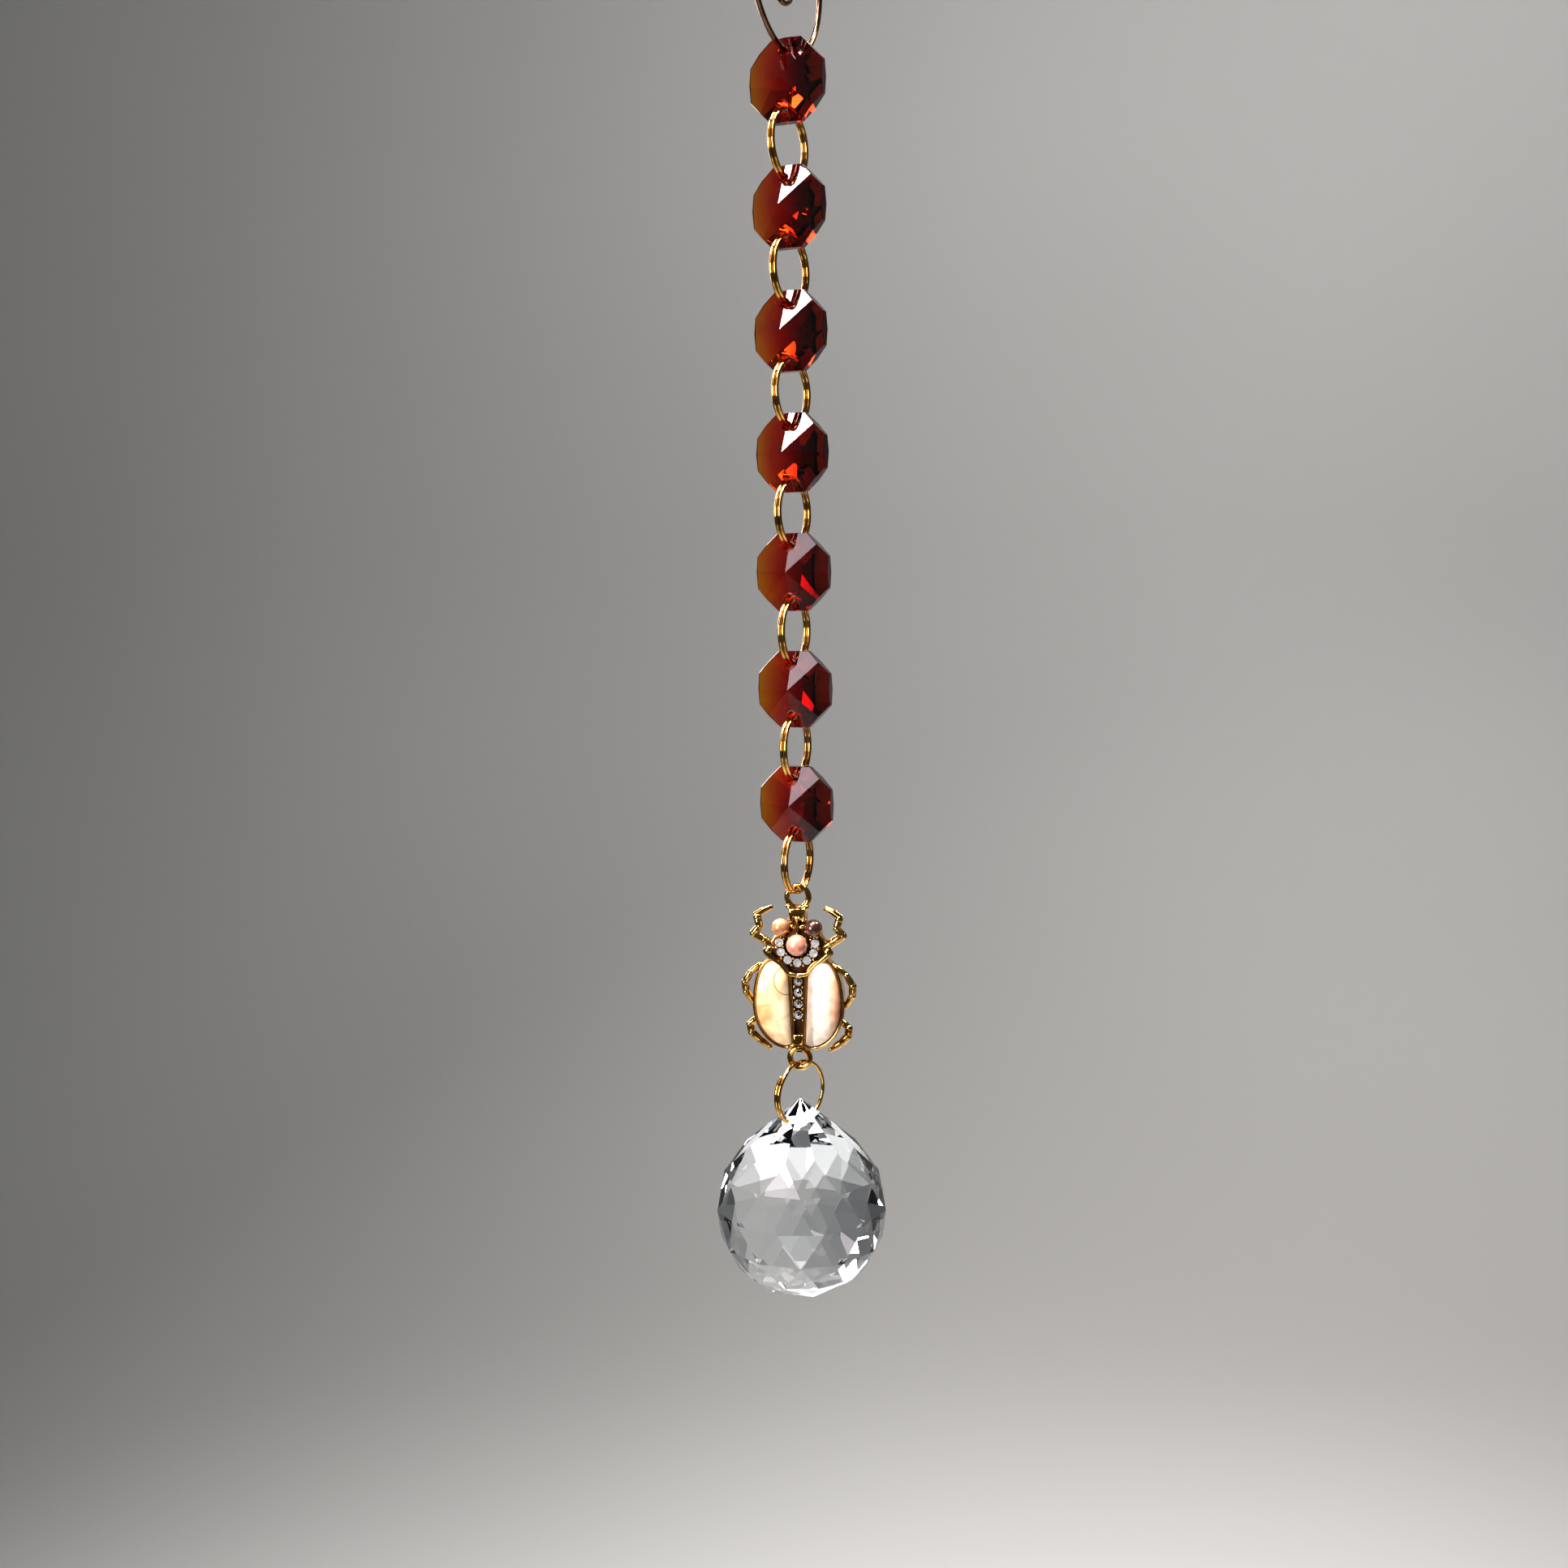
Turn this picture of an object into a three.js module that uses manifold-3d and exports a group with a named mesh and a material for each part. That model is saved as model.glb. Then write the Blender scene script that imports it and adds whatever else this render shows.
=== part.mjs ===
// Crystal suncatcher in millimetres, +Z up. The origin is the inner top of the hanging ring, where
// a hook carries it. Everything hangs straight down from there. The flat fronts face -Y, and the
// split rings stand in the YZ plane, because their wire passes from front to back through the beads.

import * as THREE from 'three';
import { ConvexGeometry } from 'three/addons/geometries/ConvexGeometry.js';
import { mergeVertices } from 'three/addons/utils/BufferGeometryUtils.js';
import Module from 'manifold-3d';

const wasm = await Module();
wasm.setup();

// Hanging ring of bronze wire, with the wire's other end rolled in to a small scroll
const HANGER_OUTER = 29.0;
const HANGER_WIRE = 1.0;
const SCROLL_OUTER = 8.5;
const SCROLL_TO_FRONT = 1.3;
const SCROLL_BELOW_CENTRE = 2.4;
const SCROLL_LEAVES_AT = 42;
const SCROLL_SWEEP = 380;
const SCROLL_CLOSED_AFTER = 0.29;

// Octagon beads
const BEAD_COUNT = 7;
const BEAD_ACROSS = 14.0;
const BEAD_THICK = 7.8;
const BEAD_RIM = 2.0;
const HOLE_TO_FLAT = 2.4;
const HOLE_CLEARANCE = 0.22;

// Split rings: one wire wound nearly twice round
const SPLIT_RING_OUTER = 12.7;
const SPLIT_RING_WIRE = 0.7;
const TURN_GAP = 0.05;
const STEP_OVER = 30;

// Room between pieces that hang in or rest on each other
const PLAY = 0.12;
const SEAT_GAP = 0.12;

// Beetle charm. Its carving is laid out in hundredths of its length.
const BEETLE_LENGTH = 36.0;
const TOP_LOOP_OUTER = 5.2;
const TOP_LOOP_WIRE = 1.1;
const TAIL_LOOP_OUTER = 4.9;
const TAIL_LOOP_WIRE = 1.15;
const PLATE_THICK = 1.2;
const CHANNEL_FLOOR = 1.5;
const THORAX_THICK = 2.0;
const RIM_TOP = 2.4;
const HEAD_THICK = 2.6;
const RIM_WIDTH = 0.7;
const WING_EDGE = 2.2;
const WING_DOME = 1.5;
const LEG_THICK = 1.3;
const EYE_PEARL = 3.3;
const EYE_ABOVE_PLATE = 1.1;
const EYE_CUP = 2.64;
const COLLAR_PEARL = 4.0;
const PEARL_ABOVE_THORAX = 0.8;
const COLLAR_RIM = 0.98;
const STONE_ACROSS = 1.65;
const STONE_SPACE = 0.25;
const COLLAR_MARGIN = 0.6;
const COLLAR_STONES = 7;
const SPINE_STONES = 4;
const SPINE_SPACE = 0.5;

// Ring between charm and ball: one wire whose ends lie side by side for a quarter of the way
const BALL_RING_OUTER = 12.73;
const BALL_RING_WIRE = 0.73;
const OVERLAP_FROM = 48;
const OVERLAP_TO = 132;
const OVERLAP_LEAVE = 26;

// Clear faceted ball, measured across its corners
const BALL_ACROSS = 33.0;
const TIP_SLOPE = 49.5;
const TIP_BLUNT = 0.2;
const BORE_BELOW_TIP = 4.75;
const BORE_SPREAD = 45;

// Each piece hangs with a small turn of its own about the vertical, in degrees
const BEAD_TURNS = [0, -4, -4, -4, 2, 3, 3];
const SPLIT_RING_TURNS = [-4, -3.5, -3, -1, 2.5, 3.5, 2];
const BEETLE_TURN = 14;
const BALL_TURN = -20.5;

// How many sides the wires' sections and the bores have, and how many steps the wires take
const WIRE_SIDES = 6;
const HANGER_STEPS = 32;
const SPLIT_RING_STEPS = 32;
const SCROLL_STEPS = 26;
const BALL_RING_STEPS = 26;
const LOOP_STEPS = 16;
const BEAD_BORE_SIDES = 12;
const BALL_BORE_SIDES = 8;
const PEARL_SIDES = 12;
const STONE_SIDES = 8;

const rad = THREE.MathUtils.degToRad;
const smooth = THREE.MathUtils.smoothstep;

// Joining and cutting of closed meshes

function solid(geometry) {
  const bare = geometry.clone();
  bare.deleteAttribute('normal');
  bare.deleteAttribute('uv');
  const merged = mergeVertices(bare, 1e-5);
  return new wasm.Manifold(new wasm.Mesh({
    numProp: 3,
    vertProperties: new Float32Array(merged.attributes.position.array),
    triVerts: new Uint32Array(merged.index.array),
  }));
}

function geometryOf(body) {
  const { vertProperties, triVerts } = body.getMesh();
  const indexed = new THREE.BufferGeometry();
  indexed.setAttribute('position', new THREE.BufferAttribute(vertProperties, 3));
  indexed.setIndex(new THREE.BufferAttribute(triVerts, 1));
  const flat = indexed.toNonIndexed();
  flat.computeVertexNormals();
  return flat;
}

const joined = (bodies) => bodies.reduce((all, body) => all.add(body));
const cutBy = (body, cutters) => cutters.reduce((left, cutter) => left.subtract(cutter), body);

// Wire of a round section drawn as a polygon, along a curve
function wireAlong(curve, thickness, steps) {
  const section = new THREE.Shape();
  for (let k = 0; k < WIRE_SIDES; k++) {
    const a = (2 * Math.PI * k) / WIRE_SIDES;
    const x = (thickness / 2) * Math.cos(a);
    const y = (thickness / 2) * Math.sin(a);
    if (k === 0) section.moveTo(x, y);
    else section.lineTo(x, y);
  }
  section.closePath();
  return new THREE.ExtrudeGeometry(section, { steps, bevelEnabled: false, extrudePath: curve });
}

// Radius of a many-sided cutter whose flats clear a round bore of the given radius
const around = (radius, sides) => radius / Math.cos(Math.PI / sides);

// How far a ring of mean radius r drops between its top and a point beside it
const sag = (r, beside) => r - Math.sqrt(r * r - beside * beside);

// Rings in the YZ plane, measured as angles from their top towards the front

class RingWire extends THREE.Curve {
  constructor(radius, from, to, sideways) {
    super();
    Object.assign(this, { radius, from, to, sideways });
  }

  getPoint(t, target = new THREE.Vector3()) {
    const angle = this.from + (this.to - this.from) * t;
    const a = rad(angle);
    return target.set(this.sideways(angle), -this.radius * Math.sin(a), this.radius * Math.cos(a));
  }
}

const TURN_STEP = SPLIT_RING_WIRE + TURN_GAP;
const SPLIT_RING_MEAN = (SPLIT_RING_OUTER - SPLIT_RING_WIRE) / 2;

// The wire lies flat for a turn, steps over beside its own end and lies flat for the next. The step
// and both cut ends are at the top, in the hole of the bead above.
function splitRing() {
  const half = STEP_OVER / 2;
  const sideways = (angle) => TURN_STEP * (smooth(angle - 360, -half, half) - 0.5);
  const path = new RingWire(SPLIT_RING_MEAN, half, 720 - half, sideways);
  return wireAlong(path, SPLIT_RING_WIRE, SPLIT_RING_STEPS);
}

const BALL_RING_MEAN = (BALL_RING_OUTER - BALL_RING_WIRE) / 2;

function ballRing() {
  const beside = (BALL_RING_WIRE + TURN_GAP) / 2;
  const sideways = (angle) =>
    beside * (smooth(angle, 360 + OVERLAP_FROM - OVERLAP_LEAVE, 360 + OVERLAP_FROM)
      + smooth(angle, OVERLAP_TO, OVERLAP_TO + OVERLAP_LEAVE) - 1);
  const path = new RingWire(BALL_RING_MEAN, OVERLAP_FROM, 360 + OVERLAP_TO, sideways);
  return wireAlong(path, BALL_RING_WIRE, BALL_RING_STEPS);
}

// Hanging ring

const HANGER_MEAN = (HANGER_OUTER - HANGER_WIRE) / 2;
const HANGER_CENTRE = -(HANGER_OUTER / 2 - HANGER_WIRE);

// From the ring's upper front the end runs inwards and closes up into the scroll
class ScrollWire extends THREE.Curve {
  getPoint(t, target = new THREE.Vector3()) {
    const scrollMean = (SCROLL_OUTER - HANGER_WIRE) / 2;
    const inward = smooth(t, 0, SCROLL_CLOSED_AFTER);
    const angle = rad(SCROLL_LEAVES_AT + SCROLL_SWEEP * t);
    const radius = THREE.MathUtils.lerp(HANGER_MEAN, scrollMean, inward);
    const y = -SCROLL_TO_FRONT * inward - radius * Math.sin(angle);
    const z = -SCROLL_BELOW_CENTRE * inward + radius * Math.cos(angle);
    return target.set(0, y, z);
  }
}

function hangingRing() {
  const ring = new THREE.TorusGeometry(HANGER_MEAN, HANGER_WIRE / 2, WIRE_SIDES, HANGER_STEPS);
  ring.rotateY(Math.PI / 2);
  const scroll = wireAlong(new ScrollWire(), HANGER_WIRE, SCROLL_STEPS);
  return geometryOf(joined([solid(ring), solid(scroll)]));
}

// Octagon beads

const HOLE_FROM_CENTRE = BEAD_ACROSS / 2 - HOLE_TO_FLAT;
const THICK_AT_HOLE = BEAD_THICK - (BEAD_THICK - BEAD_RIM) * (HOLE_FROM_CENTRE / (BEAD_ACROSS / 2));
const SAG_IN_HOLE = sag(SPLIT_RING_MEAN, THICK_AT_HOLE / 2);
const HOLE_RADIUS = Math.hypot(TURN_STEP / 2, SAG_IN_HOLE / 2) + SPLIT_RING_WIRE / 2 + HOLE_CLEARANCE;

// Each face is a low pyramid of eight kites. Its ridges run from the point to the middles of the
// eight sides, so the rim is thickest there and thin at the corners.
function octagonBead() {
  const middle = BEAD_ACROSS / 2;
  const corner = middle / Math.cos(Math.PI / 8);
  const slope = (BEAD_THICK - BEAD_RIM) / 2 / (middle * Math.cos(Math.PI / 8));
  const cornerHalf = BEAD_THICK / 2 - slope * corner;
  const points = [];
  for (const face of [-1, 1]) {
    points.push(new THREE.Vector3(0, face * BEAD_THICK / 2, 0));
    for (let k = 0; k < 8; k++) {
      const side = (k * Math.PI) / 4;
      const tip = side + Math.PI / 8;
      points.push(new THREE.Vector3(middle * Math.cos(side), face * BEAD_RIM / 2, middle * Math.sin(side)));
      points.push(new THREE.Vector3(corner * Math.cos(tip), face * cornerHalf, corner * Math.sin(tip)));
    }
  }
  const boreRadius = around(HOLE_RADIUS, BEAD_BORE_SIDES);
  const holes = [-1, 1].map((end) => {
    const bore = new THREE.CylinderGeometry(boreRadius, boreRadius, 2 * BEAD_THICK, BEAD_BORE_SIDES);
    bore.translate(0, 0, end * HOLE_FROM_CENTRE);
    return solid(bore);
  });
  return geometryOf(cutBy(solid(new ConvexGeometry(points)), holes));
}

// Beetle charm, modelled flat: x across, y along the length from the top loop's top, z to the front

const share = BEETLE_LENGTH / 100;
const at = (across, down) => new THREE.Vector2(across * share, -down * share);
const raised = (across, down, z) => new THREE.Vector3(across * share, -down * share, z);
const mirrored = (points) => points.map((p) => new THREE.Vector2(-p.x, p.y)).reverse();

function slab(points, low, high) {
  const geometry = new THREE.ExtrudeGeometry(new THREE.Shape(points), {
    depth: high - low,
    bevelEnabled: false,
  });
  return geometry.translate(0, 0, low);
}

function rod(from, to, thick) {
  const along = to.clone().sub(from);
  const geometry = new THREE.CylinderGeometry(thick / 2, thick / 2, along.length(), WIRE_SIDES);
  const turn = new THREE.Quaternion().setFromUnitVectors(
    new THREE.Vector3(0, 1, 0), along.clone().normalize());
  geometry.applyQuaternion(turn);
  const mid = from.clone().add(to).multiplyScalar(0.5);
  return solid(geometry.translate(mid.x, mid.y, mid.z));
}

function ball(centre, across) {
  const geometry = new THREE.SphereGeometry(across / 2, PEARL_SIDES, (2 * PEARL_SIDES) / 3);
  return geometry.rotateX(Math.PI / 2).translate(centre.x, centre.y, centre.z);
}

// Outline of the wing case on the viewer's right: a straight inner edge and a round outside
function wingOutline() {
  const shape = new THREE.Shape();
  shape.moveTo(...at(3.8, 85.0));
  shape.lineTo(...at(5.3, 48.9));
  shape.bezierCurveTo(...at(6.4, 44.2), ...at(9.4, 41.1), ...at(13.0, 41.1));
  shape.bezierCurveTo(...at(19.2, 41.1), ...at(22.4, 53.3), ...at(22.4, 64.4));
  shape.bezierCurveTo(...at(22.4, 76.7), ...at(14.4, 86.1), ...at(6.1, 86.1));
  const points = shape.getPoints(6);
  return THREE.ShapeUtils.area(points) < 0 ? points.reverse() : points;
}

// The same outline, moved outwards by a distance all the way round
function grown(points, distance) {
  return points.map((p, k) => {
    const before = points[(k + points.length - 1) % points.length];
    const after = points[(k + 1) % points.length];
    const a = p.clone().sub(before).normalize();
    const b = after.clone().sub(p).normalize();
    const out = new THREE.Vector2(a.y + b.y, -a.x - b.x).normalize();
    return p.clone().addScaledVector(out, distance / Math.max(0.6, out.dot(new THREE.Vector2(a.y, -a.x))));
  });
}

// A wing case: a flat bottom, a low wall and a dome that is steep at its edge
function wingInlay(outline) {
  const low = PLATE_THICK + SEAT_GAP;
  const rings = [1, 0.92, 0.72, 0.4];
  const centre = outline.reduce((sum, p) => sum.add(p), new THREE.Vector2()).divideScalar(outline.length);
  const rise = (s) => WING_EDGE + WING_DOME * Math.sqrt(Math.max(0, 1 - s * s));
  const vertices = [];
  const place = (p, z) => vertices.push(p.x, p.y, z) / 3 - 1;
  const bottom = outline.map((p) => place(p, low));
  const levels = rings.map((s) => outline.map((p) => place(centre.clone().lerp(p, s), rise(s))));
  const underside = place(centre, low);
  const top = place(centre, rise(0));
  const faces = [];
  const courses = [bottom, ...levels];
  outline.forEach((_, k) => {
    const n = (k + 1) % outline.length;
    faces.push(underside, bottom[n], bottom[k]);
    for (let c = 0; c + 1 < courses.length; c++) {
      faces.push(courses[c][k], courses[c][n], courses[c + 1][n]);
      faces.push(courses[c][k], courses[c + 1][n], courses[c + 1][k]);
    }
    faces.push(levels.at(-1)[k], levels.at(-1)[n], top);
  });
  const geometry = new THREE.BufferGeometry();
  geometry.setAttribute('position', new THREE.Float32BufferAttribute(vertices, 3));
  geometry.setIndex(faces);
  return geometry;
}

// Round stone: flat behind, a straight girdle, a bevelled crown and a flat table, in radii out and up
const STONE_SECTION = [[0, 0], [0.8, 0], [1, 0.35], [1, 0.6], [0.55, 1.15], [0, 1.15]];

function stoneAt(spot, seat) {
  const radius = STONE_ACROSS / 2;
  const section = STONE_SECTION.map(([out, up]) => new THREE.Vector2(out * radius, up * radius));
  const geometry = new THREE.LatheGeometry(section, STONE_SIDES);
  return geometry.rotateX(Math.PI / 2).translate(spot.x, spot.y, seat + SEAT_GAP);
}

// What is cut away above a seat reaches past the highest parts of the casting
const CUT_HEIGHT = 3 * HEAD_THICK;

function stoneRoom(spot, seat) {
  const radius = STONE_ACROSS / 2 + SEAT_GAP;
  const room = new THREE.CylinderGeometry(radius, radius, CUT_HEIGHT, STONE_SIDES);
  return solid(room.rotateX(Math.PI / 2).translate(spot.x, spot.y, seat + CUT_HEIGHT / 2));
}

const eyeCentre = (side) => raised(side * 8.75, 22.8, PLATE_THICK + EYE_ABOVE_PLATE);
const collarPearl = raised(0, 31.8, THORAX_THICK + PEARL_ABOVE_THORAX);

// The collar's stones follow an arc under the big pearl, the spine's run down the channel
const collarArc = (COLLAR_PEARL + STONE_ACROSS) / 2 + COLLAR_MARGIN;
const collarStep = 2 * Math.asin((STONE_ACROSS + STONE_SPACE) / 2 / collarArc);
const collarSpots = Array.from({ length: COLLAR_STONES }, (_, k) => {
  const a = (k - (COLLAR_STONES - 1) / 2) * collarStep;
  return new THREE.Vector2(collarPearl.x + collarArc * Math.sin(a), collarPearl.y - collarArc * Math.cos(a));
});
const spineSpots = Array.from({ length: SPINE_STONES }, (_, k) =>
  at(0, 51.5).add(new THREE.Vector2(0, -k * (STONE_ACROSS + SPINE_SPACE))));

// Joints of the legs on one side, from the hip to the claw: across, down, and height to the front
const LEGS = [
  [[14.2, 33.0, 1.0], [23.9, 26.4, 1.5], [19.9, 23.6, 1.6], [22.6, 17.3, 1.4], [13.9, 13.2, 0.9]],
  [[16.5, 42.0, 1.2], [24.0, 44.2, 1.7], [29.0, 52.8, 1.6], [27.8, 59.2, 1.2], [24.8, 64.6, 1.0]],
  [[22.6, 72.6, 1.2], [27.0, 77.8, 1.5], [24.8, 83.2, 1.2], [16.2, 88.3, 0.8]],
];

const STEPS_PER_JOINT = 3;

function leg(joints, side) {
  const points = joints.map(([across, down, z]) => raised(side * across, down, z));
  const curve = new THREE.CatmullRomCurve3(points, false, 'catmullrom', 0.25);
  return solid(wireAlong(curve, LEG_THICK, STEPS_PER_JOINT * (points.length - 1)));
}

function loop(outer, wire, down) {
  const geometry = new THREE.TorusGeometry((outer - wire) / 2, wire / 2, WIRE_SIDES, LOOP_STEPS);
  return solid(geometry.translate(0, -down, PLATE_THICK));
}

const TOP_LOOP_DOWN = TOP_LOOP_OUTER / 2;
const TAIL_LOOP_DOWN = BEETLE_LENGTH - TAIL_LOOP_OUTER / 2;
const wing = wingOutline();
const wings = { right: wing, left: mirrored(wing) };

// Half sizes of the two ovals between the eyes: across, down and to the front
const FACE_OVAL = [1.5, 1.05, 1.2];

function beetleCasting() {
  const rims = Object.values(wings).map((w) => solid(slab(grown(w, RIM_WIDTH), 0, RIM_TOP)));
  const both = (points) => [...points, ...mirrored(points)];
  const spine = slab(both([at(3.0, 90), at(5.2, 44)]), 0, CHANNEL_FLOOR);
  const tailBlock = slab(both([at(2.4, 85.3), at(2.8, 79.7)]), 0, HEAD_THICK);
  const thorax = slab(both([
    at(4.8, 49.0), at(16.6, 37.6), at(14.6, 30.6), at(11.0, 25.4), at(5.4, 24.6), at(4.2, 19.0),
  ]), 0, THORAX_THICK);
  const head = slab(both([at(4.2, 19.6), at(5.6, 12.4)]), 0, HEAD_THICK);
  const brow = slab(both([at(0.5, 27.6), at(0.5, 19.0)]), 0, HEAD_THICK);
  const ovals = [-1, 1].map((side) => {
    const oval = new THREE.IcosahedronGeometry(share, 1).scale(...FACE_OVAL);
    const { x, y } = at(side * 2.1, 22.4);
    return solid(oval.translate(x, y, THORAX_THICK));
  });
  const cups = [-1, 1].map((side) => {
    const cup = new THREE.CylinderGeometry(EYE_CUP / 2, EYE_CUP / 2, PLATE_THICK, PEARL_SIDES);
    const { x, y } = eyeCentre(side);
    return solid(cup.rotateX(Math.PI / 2).translate(x, y, PLATE_THICK / 2));
  });
  const collarLine = [at(-16.4, 37.2), at(-4.7, 47.5), at(4.7, 47.5), at(16.4, 37.2)];
  const collar = collarLine.slice(1).map((p, k) => {
    const from = new THREE.Vector3(collarLine[k].x, collarLine[k].y, RIM_TOP);
    return rod(from, new THREE.Vector3(p.x, p.y, RIM_TOP), COLLAR_RIM);
  });
  const legs = LEGS.flatMap((joints) => [-1, 1].map((side) => leg(joints, side)));
  const whole = joined([
    ...rims, ...[spine, tailBlock, thorax, head, brow].map(solid), ...ovals, ...cups, ...collar, ...legs,
    loop(TOP_LOOP_OUTER, TOP_LOOP_WIRE, TOP_LOOP_DOWN),
    loop(TAIL_LOOP_OUTER, TAIL_LOOP_WIRE, TAIL_LOOP_DOWN),
  ]);
  return cutBy(whole, [
    ...Object.values(wings).map((w) => solid(slab(grown(w, SEAT_GAP), PLATE_THICK, CUT_HEIGHT))),
    ...[-1, 1].map((side) => solid(ball(eyeCentre(side), EYE_PEARL + 2 * SEAT_GAP))),
    solid(ball(collarPearl, COLLAR_PEARL + 2 * SEAT_GAP)),
    ...collarSpots.map((spot) => stoneRoom(spot, THORAX_THICK)),
    ...spineSpots.map((spot) => stoneRoom(spot, CHANNEL_FLOOR)),
  ]);
}

// Faceted ball. Rows of corners lie on one sphere, each turned by half a step against the row above,
// so the cuts between them are triangles. Above the top row the cuts touch that sphere and run on up
// to the tip, and under the last row is a small flat.

const BALL_RADIUS = BALL_ACROSS / 2;
const TIP_HEIGHT = BALL_RADIUS / Math.sin(rad(TIP_SLOPE)) - TIP_BLUNT;
const CORNER_ROWS = [[TIP_SLOPE, 12], [27, 12], [4, 12], [-19, 12], [-41, 12], [-62, 6], [-81, 6]];

function ballCorners() {
  const corners = [];
  const row = (radius, height, count, turned) => {
    for (let k = 0; k < count; k++) {
      const a = (2 * Math.PI * (k + (turned ? 0.5 : 0))) / count;
      corners.push(new THREE.Vector3(radius * Math.cos(a), radius * Math.sin(a), height));
    }
  };
  row(TIP_BLUNT * Math.tan(rad(TIP_SLOPE)), TIP_HEIGHT, 6, false);
  CORNER_ROWS.forEach(([up, count], k) =>
    row(BALL_RADIUS * Math.cos(rad(up)), BALL_RADIUS * Math.sin(rad(up)), count, k % 2));
  return corners;
}

// The bore is drilled from both sides and meets below the tip. It follows the ring that goes through.
function ballBore() {
  const ringCentre = TIP_HEIGHT - BORE_BELOW_TIP + BALL_RING_MEAN;
  const half = rad(BORE_SPREAD / 2);
  const drop = sag(BALL_RING_MEAN, BALL_RING_MEAN * Math.sin(half));
  const radius = BALL_RING_WIRE / 2 + drop / 2 + PLAY + SEAT_GAP;
  const middle = BALL_RING_MEAN * Math.cos(half) + drop / 2;
  const length = 2 * BALL_RING_MEAN * Math.sin(half);
  const past = BALL_RING_WIRE;
  const drilled = around(radius, BALL_BORE_SIDES);
  return [-1, 1].map((side) => {
    const drill = new THREE.CylinderGeometry(drilled, drilled, 3 * length, BALL_BORE_SIDES);
    drill.translate(0, length - past, -middle);
    if (side < 0) drill.scale(1, -1, 1).index.array.reverse();
    drill.rotateX(side * half);
    return solid(drill.translate(0, 0, ringCentre));
  });
}

function crystalBall() {
  return geometryOf(cutBy(solid(new ConvexGeometry(ballCorners())), ballBore()));
}

// Where each piece hangs, from the top down

// How far a wire lies off the middle of the hole it pulls against
const pull = (hole, wire, beside = 0) => Math.sqrt((hole - wire / 2 - PLAY) ** 2 - beside ** 2);

const inHole = pull(HOLE_RADIUS, SPLIT_RING_WIRE, TURN_STEP / 2) - SAG_IN_HOLE;
const underHanger = pull(HOLE_RADIUS, HANGER_WIRE) - sag(HANGER_MEAN, THICK_AT_HOLE / 2);
const beadPitch = 2 * (HOLE_FROM_CENTRE + inHole + SPLIT_RING_MEAN);
const firstBead = HANGER_CENTRE - HANGER_MEAN - underHanger - HOLE_FROM_CENTRE;
const beadHeight = (k) => firstBead - k * beadPitch;
const ringHeight = (k) => beadHeight(k) - HOLE_FROM_CENTRE - inHole - SPLIT_RING_MEAN;

const topLoopHole = TOP_LOOP_OUTER / 2 - TOP_LOOP_WIRE;
const tailLoopHole = TAIL_LOOP_OUTER / 2 - TAIL_LOOP_WIRE;
const beetleTop = ringHeight(BEAD_COUNT - 1) - SPLIT_RING_MEAN
  - pull(topLoopHole, SPLIT_RING_WIRE, TURN_STEP / 2) + TOP_LOOP_DOWN;
const ballRingCentre = beetleTop - TAIL_LOOP_DOWN - pull(tailLoopHole, BALL_RING_WIRE) - BALL_RING_MEAN;
const ballCentre = ballRingCentre - BALL_RING_MEAN + BORE_BELOW_TIP - TIP_HEIGHT;

// Finishes

const finish = (color, roughness, metalness) =>
  new THREE.MeshStandardMaterial({ color, roughness, metalness, flatShading: true });
const bronze = () => finish(0x5b3d26, 0.3, 1);
const gilt = () => finish(0xd8a23a, 0.22, 1);
const amber = () => finish(0x8c3206, 0.05, 0);
const clear = () => finish(0xe6ecef, 0.03, 0);
const shell = () => finish(0xf4e3cd, 0.25, 0);

const suncatcher = new THREE.Group();

function hang(parent, name, geometry, material, height = 0, turn = 0) {
  const piece = new THREE.Mesh(geometry, material);
  piece.name = name;
  piece.position.z = height;
  piece.rotation.z = rad(turn);
  parent.add(piece);
}

hang(suncatcher, 'hanging_ring', hangingRing(), bronze(), HANGER_CENTRE);

for (let k = 0; k < BEAD_COUNT; k++) {
  hang(suncatcher, `octagon_bead_${k + 1}`, octagonBead(), amber(), beadHeight(k), BEAD_TURNS[k]);
  hang(suncatcher, `split_ring_${k + 1}`, splitRing(), gilt(), ringHeight(k), SPLIT_RING_TURNS[k]);
}

// The charm is modelled flat, so it is stood up and turned as one
const beetle = new THREE.Group();
beetle.rotation.set(Math.PI / 2, 0, rad(BEETLE_TURN), 'ZXY');
beetle.position.z = beetleTop;
beetle.translateZ(-PLATE_THICK);
suncatcher.add(beetle);

hang(beetle, 'scarab_body', geometryOf(beetleCasting()), gilt());
for (const side of ['left', 'right']) {
  const sign = side === 'left' ? -1 : 1;
  hang(beetle, `wing_inlay_${side}`, wingInlay(wings[side]), shell());
  const pearlColour = side === 'left' ? 0xe9b892 : 0x6b4038;
  hang(beetle, `eye_pearl_${side}`, ball(eyeCentre(sign), EYE_PEARL), finish(pearlColour, 0.2, 0));
}
hang(beetle, 'collar_pearl', ball(collarPearl, COLLAR_PEARL), finish(0xe0a08c, 0.2, 0));
collarSpots.forEach((spot, k) =>
  hang(beetle, `collar_stone_${k + 1}`, stoneAt(spot, THORAX_THICK), clear()));
spineSpots.forEach((spot, k) =>
  hang(beetle, `spine_stone_${k + 1}`, stoneAt(spot, CHANNEL_FLOOR), clear()));

hang(suncatcher, 'ball_ring', ballRing(), gilt(), ballRingCentre, BALL_TURN);
hang(suncatcher, 'crystal_ball', crystalBall(), clear(), ballCentre, BALL_TURN);

export default suncatcher;
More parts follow.
